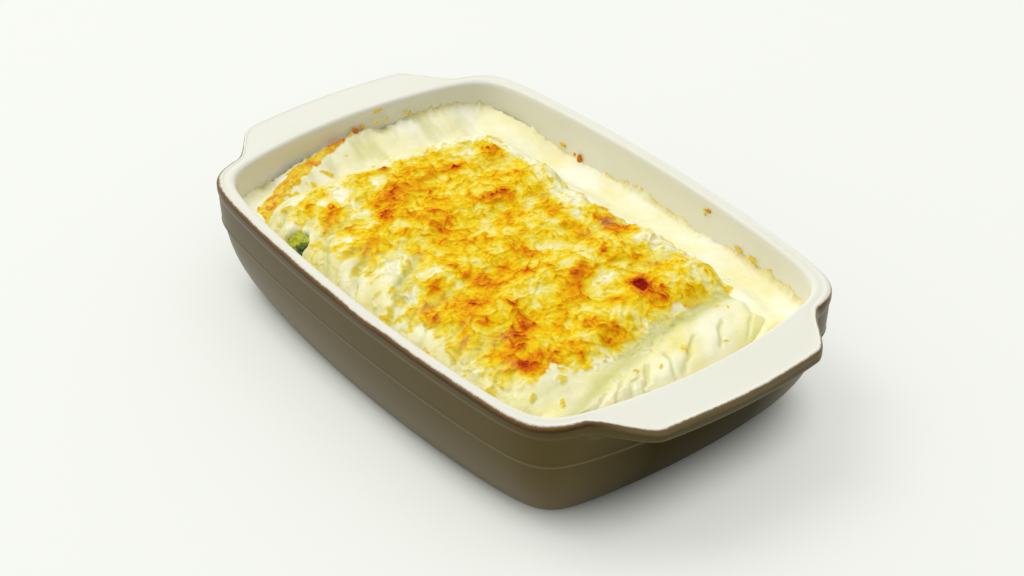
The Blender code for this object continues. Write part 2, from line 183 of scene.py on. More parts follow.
# Toasted marks: middle x, middle y, half length, half width, direction in degrees, strength
SCORCHES = (
    (57.5, 18, 3.8, 3.2, 160, 2.30), (60, 17.5, 10, 5.5, 160, 0.80), (69, 22, 4, 2.0, 20, 0.30),
    (40, 1, 8.5, 3.6, 118, 1.10), (44, -4, 4, 3, 150, 0.6), (34, 8, 4, 2, 110, 0.8),
    (32, 21, 3, 1.4, 100, 0.8), (18, 38, 8, 5, 5, 0.95), (27, 40, 3, 2, 90, 0.6),
    (13, 42, 3, 2.5, 0, 0.5), (11, 25, 9, 3, 0, 0.55), (-12, 27, 9, 3, 165, 0.4),
    (-58, 36, 5.5, 3, 10, 0.80), (-58, 13, 5, 3.4, 80, 0.85), (-59, 2, 5, 2, 90, 0.5),
    (-70, 7, 4, 2.5, 0, 0.5), (-29, 12, 8, 2.2, 92, 1.05), (-25, 18, 4, 3, 20, 0.5),
    (-39, 25, 4, 2.2, 60, 0.55), (-18, 9, 4, 1.8, 30, 0.65), (0, 6, 2, 1.4, 90, 0.9),
    (-58, -14, 9, 4, 100, 0.85), (-51, -24, 8, 3.2, 135, 0.95), (-44, -31, 5, 3, 140, 1.0),
    (-40, -12, 14, 7, 0, 0.40), (-30, -21, 9, 2.4, 10, 0.5), (-20, -18, 5, 3, 40, 0.5),
    (-76, -22, 9, 2, 155, 0.35), (-82, -32, 8, 1.8, 120, 0.45), (-61, -46, 8, 2.2, 150, 0.55),
    (-69, -53, 5, 2, 160, 0.5), (-29, -50, 8, 2.0, 105, 0.70), (-35, -43, 5, 2, 150, 0.4),
    (12, -2, 3.6, 2.4, 0, 0.95), (6, 10, 5, 2, 140, 0.3), (15, -15, 7, 3.4, 130, 0.55),
    (17, -28, 6, 4, 20, 0.95), (23, -26, 4, 1.8, 60, 0.7), (8, -32, 14, 1.4, 3, 0.5),
    (10, -46, 7, 2, 112, 0.8), (30, -40, 8, 4, 100, 0.70), (23, -52, 8, 2.2, 60, 0.55),
    (27, -61, 5, 1.6, 70, 0.5), (44, -31, 9, 2.2, 170, 0.75), (54, -38, 10, 4.6, 112, 1.0),
    (60, -47, 5, 3, 120, 0.7), (67, -51, 9, 2.4, 0, 0.7), (69, -44, 9, 2.6, 92, 0.95),
    (72, -49, 4, 3.4, 0, 0.8), (80, -30, 9, 2.2, 165, 0.6), (70, -28, 5, 1.8, 40, 0.5),
    (74, -9, 4, 3, 30, 0.6), (64, -14, 5, 3, 20, 0.55), (77, -15, 3, 2, 60, 0.5),
    (52, -16, 5, 5, 0, 0.35), (24, -12, 4, 2, 30, 0.45), (60, 5, 5, 3, 0, 0.45),
    (73, 38, 6, 5, 60, 0.35), (56, 34, 8, 3, 5, 0.3), (85, 35, 2, 1.2, 60, 0.5),
    (84, 18, 3, 2, 150, 0.5), (85, -44, 5, 1.6, 140, 0.35), (40, -55, 6, 2, 150, 0.35),
    (48, -62, 5, 1.6, 120, 0.35), (-10, -38, 9, 1.4, 150, 0.30), (62, -53, 6, 1.6, 0, 0.5),
    (22, -46, 20, 8, 0, 0.30), (76, -44, 9, 8, 0, 0.30), (-12, -18, 12, 8, 0, 0.22),
    (-50, -57, 6, 2.4, 130, 0.5), (-28, -62, 7, 2.2, 110, 0.6), (-8, -68, 6, 2.6, 150, 0.6),
)
# Places where the crust stays pale: middle x, middle y, half length, half width, direction, strength
PALE_PLACES = (
    (-70, -36, 11, 4.5, 160, 0.8), (-52, -36, 9, 3, 0, 0.5), (6, -52, 16, 5, 120, 0.7),
    (-10, -52, 12, 6, 130, 0.75), (-12, 37, 12, 6, 0, 0.8), (38, 45, 15, 6, 0, 0.85),
    (-50, 44, 20, 4, 0, 0.6), (37, -20, 6, 3, 60, 0.6), (2, 15, 6, 5, 45, 0.55),
    (47, 12, 5, 9, 0, 0.65), (-42, -60, 24, 6, 0, 0.7), (44, -22, 6, 3, 0, 0.4),
    (88, -20, 7, 30, 0, 0.9), (-84, -44, 6, 12, 0, 0.5), (4, -39, 8, 3, 10, 0.4),
    (-76, 24, 6, 12, 150, 0.6), (60, -66, 30, 5, 0, 0.6), (80, 8, 5, 8, 0, 0.5),
    (-63, 26, 5, 4, 0, 0.45), (63, -2, 6, 3, 0, 0.4), (20, 12, 10, 4, 20, 0.35),
    (-76, 38, 14, 9, 20, 0.8), (-40, 46, 22, 5, 0, 0.5), (74, 42, 14, 7, 0, 0.5),
    (-72, -44, 8, 5, 160, 0.3), (-70, -20, 8, 4, 0, 0.3), (-10, 45, 14, 5, 0, 0.4),
)
# Golden flecks outside the crust, given as the toasted marks are
FLECKS = (
    (-13.5, -68.5, 4, 1.6, 115, 1.0), (8.7, -69.5, 4, 1.8, 30, 0.9), (11.4, -53, 4, 1.8, 150, 0.9),
    (20.4, -66.4, 4, 1.8, 140, 0.9), (36.4, -70, 4.5, 1.6, 160, 0.9), (72.2, -66.7, 5, 2.4, 150, 0.9),
    (95.3, 7.1, 2.6, 1.8, 150, 1.0), (100.7, 24, 2.6, 0.8, 70, 0.9), (93.5, -16.1, 3, 0.9, 60, 0.9),
    (84, -43, 3.4, 2.4, 120, 1.0), (93.5, -50, 3, 1.4, 150, 0.9), (98, 34.6, 1.6, 0.8, 0, 0.5),
    (84.6, 39.5, 1.8, 0.6, 150, 1.0), (-60, -63, 4, 1.2, 100, 0.8), (-48, -62, 4, 1.4, 120, 0.8),
    (-36, -58, 4, 1.4, 150, 0.7), (55, -69, 4, 1.4, 150, 0.8), (86, -58, 3, 1.2, 130, 0.8),
    (99, -8, 2.2, 0.7, 120, 0.7), (101, -30, 2.2, 0.8, 60, 0.6), (-72, -57, 4, 1.2, 110, 0.8),
    (-99, -22, 5, 1.8, 70, 0.9), (-96, -34, 5, 2.0, 60, 0.9),
    (-91, -44, 5, 1.8, 60, 0.9), (-93, -25, 4, 1.2, 60, 0.7), (-88, -52, 4, 1.8, 60, 0.8),
    (-104, -8, 4, 1.0, 80, 0.7), (-107, 4, 3, 0.8, 80, 0.6),
)
# Folds of the pale skin: both ends of each valley, half width, depth, and how strongly the valley
# gets painted green shade
FOLD_LINES = (
    (-73, -58, -68, -71, 1.5, 1.3, 0.9), (-79, -56, -76, -70, 1.3, 1.0, 0.6),
    (-45, -59, -33, -71, 2.2, 1.6, 0.9), (-24, -55, -14, -70, 1.8, 1.9, 0.7),
    (-12.5, -38, 6, -61, 2.0, 1.5, 0.9), (8, -61, 14, -73, 1.5, 1.1, 0.4),
    (45, -58, 52, -71, 1.7, 1.2, 0.5), (26, -62, 33, -73, 1.4, 1.0, 0.4),
    (68, -58, 74, -70, 1.5, 1.0, 0.5), (-57, -60, -52, -72, 1.3, 1.0, 0.6),
    (89.8, 31, 101.5, 20.5, 0.9, 1.5, 0.55), (92, 15, 105, -1.6, 1.0, 1.4, 0.6),
    (92.2, 0, 104.8, -6, 0.8, 1.1, 0.6), (93, -9, 104.5, -20.4, 1.0, 1.5, 0.7),
    (95, -15, 105, -29, 0.7, 0.9, 0.5), (96.5, -24, 104, -34, 0.9, 1.2, 0.6),
    (98, -33, 103, -44, 0.8, 1.0, 0.5), (92, 44, 103, 33, 0.9, 0.9, 0.35),
)
# Pads between the folds, given as the toasted marks are, with a height in millimetres
PADS = (
    (-8, -58, 14, 5, 139, 1.6), (-27, -65, 7, 4, 145, 1.3), (40, -65, 8, 5, 145, 0.8),
    (61, -64, 8, 5, 145, 0.9), (-62, -65, 5, 4, 110, 0.9), (96.5, 40, 7, 5, 130, 0.9),
    (97, 20, 7, 4, 130, 0.8), (99, -3, 6, 4, 140, 0.7), (99, -27, 6, 3, 130, 0.6),
)
# Places further to +X than this are given this distance to the sauce bank at -X
BANK_LIMIT_X = -78
FAR_FROM_BANK = 30.0
# The bank's browned edge: x, y and height of its middle, half width
BANK_CREST = (
    (-114.4, 7.0, 44.0, 0.8), (-113.4, -1.0, 43.6, 1.4), (-111.2, -10.0, 42.9, 2.2),
    (-108.6, -20.0, 42.7, 3.2), (-105.2, -30.5, 42.7, 4.4), (-99.2, -42.0, 42.2, 4.8),
    (-93.0, -51.5, 41.8, 5.0), (-87.0, -61.5, 40.6, 4.0),
)
# Toasted marks on the bank, given as those of the crust are
BANK_SCORCHES = (
    (-113.6, 3.0, 2.2, 1.6, 20, 1.6), (-112.4, -5.5, 4, 1.4, 75, 0.9), (-110.5, -12, 4, 1.4, 75, 0.5),
    (-106, -29, 5, 2, 70, 0.5), (-100, -40, 5, 2.4, 55, 0.45), (-92, -52, 4, 2, 60, 0.35),
    (-98, -46, 4, 1.6, 50, 0.5), (-88, -59, 3, 2, 60, 0.3),
)
# Where the film of sauce ends on the wall: bearing round the dish in degrees, height
FILM_LINE = (
    (-180, 42.5), (-172, 41.0), (-166, 39.5), (-158, 36.5), (-150, 36.0), (-146, 38.5),
    (-140, 39.5), (-120, 40.0), (-90, 39.5), (-60, 39.5), (-35, 39.5), (0, 38.5), (28, 39.5),
    (38, 39.0), (46, 41.2), (60, 40.2), (66, 39.0), (70, 35.5), (78, 34.8), (88, 37.5),
    (95, 38.8), (101, 35.2), (114, 34.2), (124, 35.8), (132, 36.4), (138, 41.5), (145, 43.8),
    (152, 44.2), (160, 41.8), (167, 39.2), (173, 42.5), (180, 42.5),
)
# Crust colours from pale to burnt, and the share of the crust that is paler than each
CRUST_COLOURS = (
    (0.03, "F7F3D2"), (0.11, "F0E598"), (0.22, "EFDE74"), (0.33, "EED74E"), (0.44, "EDD02A"),
    (0.55, "ECC912"), (0.65, "EAC007"), (0.75, "E8B402"), (0.84, "E5A400"), (0.92, "DF8E00"),
    (0.965, "D77600"), (0.985, "CC5C00"), (0.994, "B02E00"), (1.0, "821000"),
)


# ---------------------------------------------------------------- numbers
def smoothstep(value):
    """0 below 0, 1 above 1, and a smooth S between."""
    value = np.clip(value, 0.0, 1.0)
    return value * value * (3.0 - 2.0 * value)


def linear(colour):
    """A colour written as six hex digits, as linear red, green, blue and alpha."""
    channels = [int(colour[i : i + 2], 16) / 255 for i in (0, 2, 4)]
    curved = [c / 12.92 if c <= 0.04045 else ((c + 0.055) / 1.055) ** 2.4 for c in channels]
    return (*curved, 1.0)


def noise(x, y, size, seed):
    """Gradient noise between about -1 and 1: a random slope at each corner of a lattice of
    squares of this size, and a fifth-power S to blend the four slopes round a point."""
    lattice = 256
    angle = np.random.default_rng(seed).uniform(0, 2 * np.pi, (lattice, lattice))
    slope_x, slope_y = np.cos(angle), np.sin(angle)
    u, v = np.asarray(x) / size, np.asarray(y) / size
    column, row = np.floor(u).astype(int), np.floor(v).astype(int)
    u, v = u - column, v - row

    def corner(right, up):
        i, j = (column + right) % lattice, (row + up) % lattice
        return slope_x[i, j] * (u - right) + slope_y[i, j] * (v - up)

    blend_u = u**3 * (u * (u * 6 - 15) + 10)
    blend_v = v**3 * (v * (v * 6 - 15) + 10)
    low = corner(0, 0) + (corner(1, 0) - corner(0, 0)) * blend_u
    high = corner(0, 1) + (corner(1, 1) - corner(0, 1)) * blend_u
    return 1.5 * (low + (high - low) * blend_v)


def layered_noise(x, y, size, seed, layers=3):
    """Gradient noise with finer and weaker layers added, each half the size of the last."""
    return sum(noise(x, y, size / 2**k, seed + k) / 2**k for k in range(layers))


def cell_edges(x, y, size, seed):
    """How near each point is to the border between cells: each lattice square holds one
    random point, and this is the distance to the second nearest less that to the nearest."""
    lattice = 128
    spots = np.random.default_rng(seed).uniform(0.1, 0.9, (lattice, lattice, 2))
    u, v = np.asarray(x) / size, np.asarray(y) / size
    column, row = np.floor(u).astype(int), np.floor(v).astype(int)
    nearest = np.full(u.shape, 9.0)
    second = np.full(u.shape, 9.0)
    for right in (-1, 0, 1):
        for up in (-1, 0, 1):
            spot = spots[(column + right) % lattice, (row + up) % lattice]
            away = np.hypot(column + right + spot[..., 0] - u, row + up + spot[..., 1] - v)
            second = np.minimum(second, np.maximum(nearest, away))
            nearest = np.minimum(nearest, away)
    return (second - nearest) * size


def marks(x, y, places):
    """The sum of soft oval marks: each is its strength times a bell over its two half axes."""
    total = np.zeros_like(x)
    for middle_x, middle_y, half_length, half_width, direction, strength in places:
        turn = math.radians(direction)
        along = (x - middle_x) * math.cos(turn) + (y - middle_y) * math.sin(turn)
        across = (y - middle_y) * math.cos(turn) - (x - middle_x) * math.sin(turn)
        reach = (along / half_length) ** 2 + (across / half_width) ** 2
        total += strength * np.exp(-reach)
    return total


def strokes(x, y, lines):
    """Depths in millimetres and strengths of the painted green shade of straight valleys, the
    greatest at each place. Both are a bell over the distance to a line between two ends; the depth
    fades towards the ends by the root of a sine, and the shade's bell is wider."""
    end_share, shade_spread = 0.35, 1.2
    depth, valley_shade = np.zeros_like(x), np.zeros_like(x)
    for start_x, start_y, end_x, end_y, half_width, deep, green in lines:
        run_x, run_y = end_x - start_x, end_y - start_y
        part = ((x - start_x) * run_x + (y - start_y) * run_y) / (run_x**2 + run_y**2)
        part = np.clip(part, 0, 1)
        away = np.hypot(x - start_x - part * run_x, y - start_y - part * run_y)
        fade = end_share + (1 - end_share) * np.sin(np.pi * part) ** 0.5
        bell = np.exp(-((away / half_width) ** 2)) * fade
        depth = np.maximum(depth, deep * bell)
        valley_shade = np.maximum(valley_shade, green * np.exp(-((away / half_width / shade_spread) ** 2)))
    return depth, valley_shade


class Sheet:
    """Values worked out on a fine grid over the crust, in millimetres, and read between."""

    def __init__(self, low, high, cell):
        self.low, self.cell = low, cell
        across = np.arange(low[0], high[0], cell)
        along = np.arange(low[1], high[1], cell)
        self.x, self.y = np.meshgrid(across, along, indexing="ij")
        self.values = {}

    def read(self, name, x, y):
        """Bilinear reading: the four values round a point, weighted by nearness."""
        grid = self.values[name]
        u = np.clip((x - self.low[0]) / self.cell, 0, grid.shape[0] - 1.001)
        v = np.clip((y - self.low[1]) / self.cell, 0, grid.shape[1] - 1.001)
        i, j = u.astype(int), v.astype(int)
        u, v = u - i, v - j
        low = grid[i, j] * (1 - u) + grid[i + 1, j] * u
        high = grid[i, j + 1] * (1 - u) + grid[i + 1, j + 1] * u
        return low * (1 - v) + high * v


# ---------------------------------------------------------------- meshes
def add_piece(name, points, quads, triangles, material, replaced=(), values=None):
    """Put arrays into a new smooth mesh object that rides on the body, with its material and the
    values held at its points, and hide the solids that it replaces."""
    corners = np.concatenate([quads.ravel(), triangles.ravel()]).astype(np.int32)
    four = np.arange(len(quads)) * 4
    three = len(quads) * 4 + np.arange(len(triangles)) * 3
    mesh = bpy.data.meshes.new(name)
    mesh.vertices.add(len(points))
    mesh.vertices.foreach_set("co", np.asarray(points, np.float32).ravel())
    mesh.loops.add(len(corners))
    mesh.loops.foreach_set("vertex_index", corners)
    mesh.polygons.add(len(four) + len(three))
    mesh.polygons.foreach_set("loop_start", np.concatenate([four, three]).astype(np.int32))
    mesh.update(calc_edges=True)
    if mesh.validate():
        raise RuntimeError(f"{name} has faces that a mesh can't hold")
    mesh.shade_smooth()
    for key, numbers in (values or {}).items():
        attribute = mesh.attributes.new(key, "FLOAT", "POINT")
        attribute.data.foreach_set("value", np.asarray(numbers, np.float32).ravel())
    mesh.materials.append(material)
    piece = bpy.data.objects.new(name, mesh)
    bpy.context.collection.objects.link(piece)
    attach(piece, BODY)
    if replaced:
        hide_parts(*replaced)
    return piece


def lofted_faces(ring_count, point_count, first=0):
    """Quads between neighbouring rings, and a fan of triangles to a middle point at each
    end. The two middle points come after the rings' points."""
    index = first + np.arange(ring_count * point_count).reshape(ring_count, point_count)
    after = np.roll(index, -1, axis=1)
    quads = np.stack([index[:-1], after[:-1], after[1:], index[1:]], axis=-1).reshape(-1, 4)
    start = np.full(point_count, first + ring_count * point_count)
    end = start + 1
    low = np.stack([start, after[0], index[0]], axis=-1)
    high = np.stack([end, index[-1], after[-1]], axis=-1)
    return quads, np.concatenate([low, high])


def add_loft(name, rings, material, replaced=(), values=None):
    """Close a stack of rings, which run counter-clockwise seen from the last one."""
    rings = np.asarray(rings)
    quads, triangles = lofted_faces(*rings.shape[:2])
    middles = np.stack([rings[0].mean(axis=0), rings[-1].mean(axis=0)])
    points = np.concatenate([rings.reshape(-1, 3), middles])
    full = {}
    for key, numbers in (values or {}).items():
        ends = [numbers[0].mean(), numbers[-1].mean()]
        full[key] = np.concatenate([np.asarray(numbers).ravel(), ends])
    return add_piece(name, points, quads, triangles, material, replaced, full)


# ---------------------------------------------------------------- the dish's plan and wall
def gathered(count, places, width=0.13):
    """Points from -1 to just short of 1, closer together on both sides around each place."""
    fine = np.linspace(-1, 1, 2001)
    density = 0.3 + sum(np.exp(-(((np.abs(fine) - place) / width) ** 2)) for place in places)
    total = np.concatenate([[0.0], np.cumsum((density[1:] + density[:-1]) / 2)])
    return np.interp(np.linspace(0, total[-1], count, endpoint=False), total, fine)


def square_ring(short_count, long_count, power, short_places=(1.0,), long_places=(1.0,)):
    """Points of a unit square, gathered at its corners and pushed in to a superellipse."""
    short = gathered(short_count, short_places)
    long = gathered(long_count, long_places)
    ring = np.concatenate(
        [
            np.stack([np.ones_like(short), short], axis=1),
            np.stack([-long, np.ones_like(long)], axis=1),
            np.stack([-np.ones_like(short), -short], axis=1),
            np.stack([long, -np.ones_like(long)], axis=1),
        ]
    )
    size = (np.abs(ring) ** power).sum(axis=1, keepdims=True) ** (1.0 / power)
    return ring / size


def dish_outline(ring, inset, lean=0.0):
    """Plan of the dish inside its rim by inset: a superellipse whose sides bow outwards by
    a parabola. lean is the share of the outer wall's whole lean at this height: with it the
    short sides bow less and the long sides more."""
    end_bow = END_BOW - END_TUCK * lean
    side_bow = SIDE_BOW + SIDE_TUCK * lean
    half_length = DISH_LENGTH / 2 - END_BOW - inset
    half_width = DISH_WIDTH / 2 - side_bow - inset
    x = ring[:, 0] * (half_length + end_bow * (1 - ring[:, 1] ** 2))
    y = ring[:, 1] * (half_width + side_bow * (1 - ring[:, 0] ** 2))
    return np.stack([x, y], axis=1)


def wall_lean(z):
    """Share of the outer wall's lean at height z: a power of the depth below the rim."""
    return (1 - z / DISH_HEIGHT) ** WALL_TAPER_POWER


def outer_inset(z):
    """How far the outer wall stands inside the rim: the lean, the soft step at the fine
    line with its small swelling, and the rounded foot."""
    step = BAND_STEP * smoothstep((BAND_HEIGHT + BAND_STEP - z) / (2 * BAND_STEP))
    swelling = 0.5 * BAND_STEP * math.exp(-(((z - BAND_HEIGHT) / BAND_SWELLING - 0.4) ** 2))
    foot = FOOT_ROUND - math.sqrt(FOOT_ROUND**2 - max(FOOT_ROUND - z, 0.0) ** 2)
    return float(WALL_TAPER * wall_lean(z) + step - swelling + foot)


def inner_inset(z):
    """How far the inner wall stands inside the rim: a straight draft and a round floor."""
    z = np.asarray(z, dtype=float)
    draft = INNER_DRAFT * (1 - z / DISH_HEIGHT)
    below = np.clip(FLOOR_THICKNESS + FLOOR_ROUND - z, 0.0, FLOOR_ROUND)
    return RIM_THICKNESS + draft + FLOOR_ROUND - np.sqrt(FLOOR_ROUND**2 - below**2)


def handle_mask(y):
    """1 along a handle, 0 past its shoulders."""
    return smoothstep((HANDLE_HALF_WIDTH + HANDLE_SHOULDER / 2 - np.abs(y)) / HANDLE_SHOULDER)


def dish_stations():
    """The wall's profile from under the base, up the outside, over the rim and down inside.

    Each station is inset, height, share of the handle's reach, share of the wall's lean,
    and the glaze level that the colours go by. The level is 0 where the rim's flat top
    begins to round outwards. Below that it is minus the way down in millimetres, over the
    top it rises, and inside and under the base it is a mark.
    """
    base = outer_inset(0.0)
    under = DISH_HEIGHT - HANDLE_THICKNESS
    round_low = DISH_HEIGHT - RIM_ROUND
    edge = HANDLE_EDGE
    stations = []

    def outside(z, inset=None, share=0.0, level=None):
        below = -(RIM_ROUND * math.pi / 2 + round_low - z) / MM
        place = outer_inset(z) if inset is None else inset
        stations.append((place, z, share, wall_lean(z), below if level is None else level))

    between = (RECESS_LEVEL + FOOT_LEVEL) / 2
    outside(FOOT_RECESS, base + FOOT_WIDTH + 2 * FOOT_RECESS, level=RECESS_LEVEL)
    outside(FOOT_RECESS * 0.9, base + FOOT_WIDTH + FOOT_RECESS, level=RECESS_LEVEL)
    outside(FOOT_RECESS * 0.1, base + FOOT_WIDTH + FOOT_RECESS * 0.4, level=between)
    for inset in (base + FOOT_WIDTH, base + FOOT_WIDTH / 2, base):
        outside(0.0, inset, level=FOOT_LEVEL)
    for angle in np.radians(np.linspace(12, 90, 9)):
        outside(FOOT_ROUND * (1 - math.cos(angle)))
    for z in np.linspace(FOOT_ROUND, BAND_HEIGHT - 0.0018, 24)[1:]:
        outside(z)
    for z in BAND_HEIGHT + np.linspace(-0.0015, 0.0024, 14):
        outside(z)
    for z in np.linspace(BAND_HEIGHT + 0.0030, under - HANDLE_HAUNCH - 0.0006, 9):
        outside(z)
    for share in np.linspace(0, 1 - edge / HANDLE_REACH, 14) ** 0.8:
        outside(under - HANDLE_HAUNCH * (1 - share) ** 2, share=share)
    for angle in np.radians(np.linspace(-70, 0, 7)):
        z = under + edge * (1 + math.sin(angle))
        lip = smoothstep((z - under) / LIP_RUN) * RIM_LIP
        outside(z, outer_inset(z) - lip, 1 - edge / HANDLE_REACH * (1 - math.cos(angle)))
    for z in np.linspace(under + edge, round_low, 6)[1:]:
        lip = smoothstep((z - under) / LIP_RUN)
        outside(z, outer_inset(z) * (1 - lip) - RIM_LIP * lip, 1.0)
    for angle in np.radians(np.linspace(8, 90, 12)):
        inset = -RIM_LIP + RIM_ROUND * (1 - math.cos(angle))
        z = DISH_HEIGHT - RIM_ROUND * (1 - math.sin(angle))
        level = -RIM_ROUND * (math.pi / 2 - angle) / MM
        stations.append((inset, z, 1.0, 0.0, level))
    for part in np.linspace(0, 1, 16)[1:-1]:
        inset = (RIM_ROUND - RIM_LIP) + (RIM_THICKNESS - 2 * RIM_ROUND + RIM_LIP) * part
        share = 1 - part * smoothstep(part)
        sag = RIM_SAG * math.sin(math.pi * part) * (1 - part)
        stations.append((inset, DISH_HEIGHT - sag, share, 0.0, TOP_LEVEL * part))
    for angle in np.radians(np.linspace(90, 10, 9)):
        inset = RIM_THICKNESS - RIM_ROUND * (1 - math.cos(angle))
        z = DISH_HEIGHT - RIM_ROUND * (1 - math.sin(angle))
        stations.append((inset, z, 0.0, 0.0, INSIDE_LEVEL))
    inner = list(np.linspace(DISH_HEIGHT - RIM_ROUND, FLOOR_THICKNESS + FLOOR_ROUND, 14))
    turned = FLOOR_ROUND * (1 - np.cos(np.radians(np.linspace(82, 0, 9))))
    for z in inner + list(FLOOR_THICKNESS + turned):
        stations.append((float(inner_inset(z)), z, 0.0, 0.0, INSIDE_LEVEL))
    return stations


def build_dish(settings, material):
    """One loft: every station of the wall's profile, carried round the plan. The handles
    are the stations' shares of the reach, faded out at the shoulders."""
    ring = square_ring(settings.short_points, settings.long_points, CORNER_POWER, (0.64, 1.0))
    rings, levels = [], []
    for inset, z, share, lean, level in dish_stations():
        outline = dish_outline(ring, inset, lean)
        reach = HANDLE_REACH * share * handle_mask(outline[:, 1])
        x = outline[:, 0] + np.sign(outline[:, 0]) * reach
        rings.append(np.stack([x, outline[:, 1], np.full_like(x, z)], axis=1))
        levels.append(np.full(len(x), level))
    values = {"glaze_level": np.array(levels)}
    return add_loft("glazed_dish", rings, material, ("dish",), values)


# ---------------------------------------------------------------- the crust
def curved_shreds(sheet, count, seed):
    """Melted shreds: each is a bent path, a parabola over its chord, and its height at a
    point falls from the crest as a half ellipse of the distance to the path."""
    rng = np.random.default_rng(seed)
    height = np.zeros_like(sheet.x)
    rows, columns = height.shape
    for _ in range(count):
        middle = rng.uniform((sheet.x[0, 0], sheet.y[0, 0]), (sheet.x[-1, 0], sheet.y[0, -1]))
        length = rng.uniform(3.0, 11.0)
        half_width = rng.uniform(0.35, 0.80)
        crest = rng.uniform(0.35, 1.0)
        bend = rng.uniform(-0.7, 0.7) * length
        turn = rng.uniform(0, np.pi)
        t = np.linspace(-1, 1, 14)
        along = t * length / 2
        aside = bend * (1 - t * t) / 2
        path_x = middle[0] + along * np.cos(turn) - aside * np.sin(turn)
        path_y = middle[1] + along * np.sin(turn) + aside * np.cos(turn)
        low_i = int((path_x.min() - half_width - sheet.low[0]) / sheet.cell)
        low_j = int((path_y.min() - half_width - sheet.low[1]) / sheet.cell)
        high_i = int((path_x.max() + half_width - sheet.low[0]) / sheet.cell) + 2
        high_j = int((path_y.max() + half_width - sheet.low[1]) / sheet.cell) + 2
        low_i, low_j = max(low_i, 0), max(low_j, 0)
        high_i, high_j = min(high_i, rows), min(high_j, columns)
        if high_i <= low_i or high_j <= low_j:
            continue
        window = np.s_[low_i:high_i, low_j:high_j]
        x, y = sheet.x[window][..., None], sheet.y[window][..., None]
        step_x, step_y = np.diff(path_x), np.diff(path_y)
        part = (x - path_x[:-1]) * step_x + (y - path_y[:-1]) * step_y
        part = np.clip(part / (step_x**2 + step_y**2), 0, 1)
        away = np.hypot(x - path_x[:-1] - part * step_x, y - path_y[:-1] - part * step_y)
        place = np.abs(t[:-1] + part * np.diff(t))
        profile = np.sqrt(np.clip(1 - (away / half_width) ** 2, 0, 1)) * (1 - 0.75 * place**2)
        height[window] = np.maximum(height[window], crest * profile.max(axis=-1))
    return height


def crust_cover(x, y):
    """Where the browned crust lies: 1 over the full rolls, and torn at its edges.

    Each side is a smooth step across a limit that noise moves to and fro. The limit at +X
    leans a little and goes at most 1 mm past the crease; the one at -Y has an apron, and
    the one at +Y follows the skin's further reach over the later rolls.
    """
    torn = 6.0 * layered_noise(x, y, 15, 31) + 3.0 * layered_noise(x, y, 4.5, 37)
    left = smoothstep((x - CRUST_LEFT + torn) / 5)
    limit = np.minimum(CRUST_RIGHT + 0.06 * (y + 10), crease_line(y * MM) / MM + 1.0)
    right = smoothstep((limit - x + torn) / 6)
    apron = smoothstep((x - APRON_START) / 14) * smoothstep((APRON_END - x) / 10)
    near = smoothstep((y - CRUST_NEAR + APRON_REACH * apron + torn) / 7)
    further = far_growth(x / ROLL_PITCH * MM - ROW_START / ROLL_PITCH) / MM
    far = smoothstep((CRUST_FAR + further - y + 0.9 * torn) / 7)
    return left * right * near * far


def far_growth(centre):
    """How much further to +Y the skin reaches than the pasta under it, at a place in the
    row where roll 1 runs from 0 to 1."""
    return np.interp(centre, FAR_GROWTH_PLACES, FAR_GROWTH)


def fleck_cover(x, y):
    """Golden threads and spots on the pale food round the crust: the peaks and the folds
    of noise, commoner towards -Y, and the placed flecks with ragged edges."""
    spots = layered_noise(x, y, 6.5, 41, 3) + 0.5 * layered_noise(x, y, 21, 45, 2)
    threads = 0.9 - 5.0 * np.abs(layered_noise(x * 1.1, y * 0.8, 8.0, 47, 2))
    peaks = np.maximum(spots, threads * smoothstep(0.2 + 1.4 * noise(x, y, 17, 49)))
    inside = smoothstep((x + 90) / 4) * smoothstep((108 - x) / 4) * smoothstep((y + 78) / 3)
    sparse = 0.46 - 0.44 * smoothstep((-y - 50) / 10) * smoothstep((76 - x) / 10)
    scattered = smoothstep((peaks - sparse) / 0.70) * inside * smoothstep((50 - y) / 4)
    scattered = scattered * smoothstep((90 - x) / 8)
    placed = marks(x, y, FLECKS) * (1 + 0.9 * layered_noise(x, y, 3.5, 53, 2))
    return np.maximum(scattered, smoothstep((placed - 0.30) / 0.45))


def bank_place(x, y):
    """The nearest point of the bank's middle line to each place: the distance to it, its
    height and its half width, all in millimetres."""
    path = crest_path(120)
    distance = np.full(x.shape, FAR_FROM_BANK)
    height = np.full(x.shape, path[0, 2])
    width = np.full(x.shape, path[0, 3])
    near = x < BANK_LIMIT_X
    away = np.hypot(x[near][:, None] - path[:, 0], y[near][:, None] - path[:, 1])
    nearest = away.argmin(axis=1)
    distance[near] = away[np.arange(len(nearest)), nearest]
    height[near], width[near] = path[nearest, 2], path[nearest, 3]
    return distance, height, width


def crest_path(steps):
    """The bank's middle line as a smooth curve through its named points, at even steps."""
    points = np.array(BANK_CREST)
    chord = np.concatenate([[0], np.cumsum(np.hypot(*np.diff(points[:, :2], axis=0).T))])
    even = np.linspace(0, chord[-1], steps)
    rough = np.stack([np.interp(even, chord, points[:, k]) for k in range(4)], axis=1)
    weights = np.hanning(steps // 8 * 2 + 3)[1:-1]
    weights /= weights.sum()
    reach = len(weights) // 2
    before = 2 * rough[0] - rough[reach:0:-1]
    after = 2 * rough[-1] - rough[-2 : -reach - 2 : -1]
    padded = np.concatenate([before, rough, after])
    return np.stack([np.convolve(padded[:, k], weights, "valid") for k in range(4)], axis=1)


def burst_rims(away, crest, crest_width, skirt, skirt_width):
    """A burst bubble's raised rim at a distance from it: a sharp bell on a wider skirt,
    which falls off as an exponential."""
    return crest * np.exp(-((away / crest_width) ** 2)) + skirt * np.exp(-away / skirt_width)


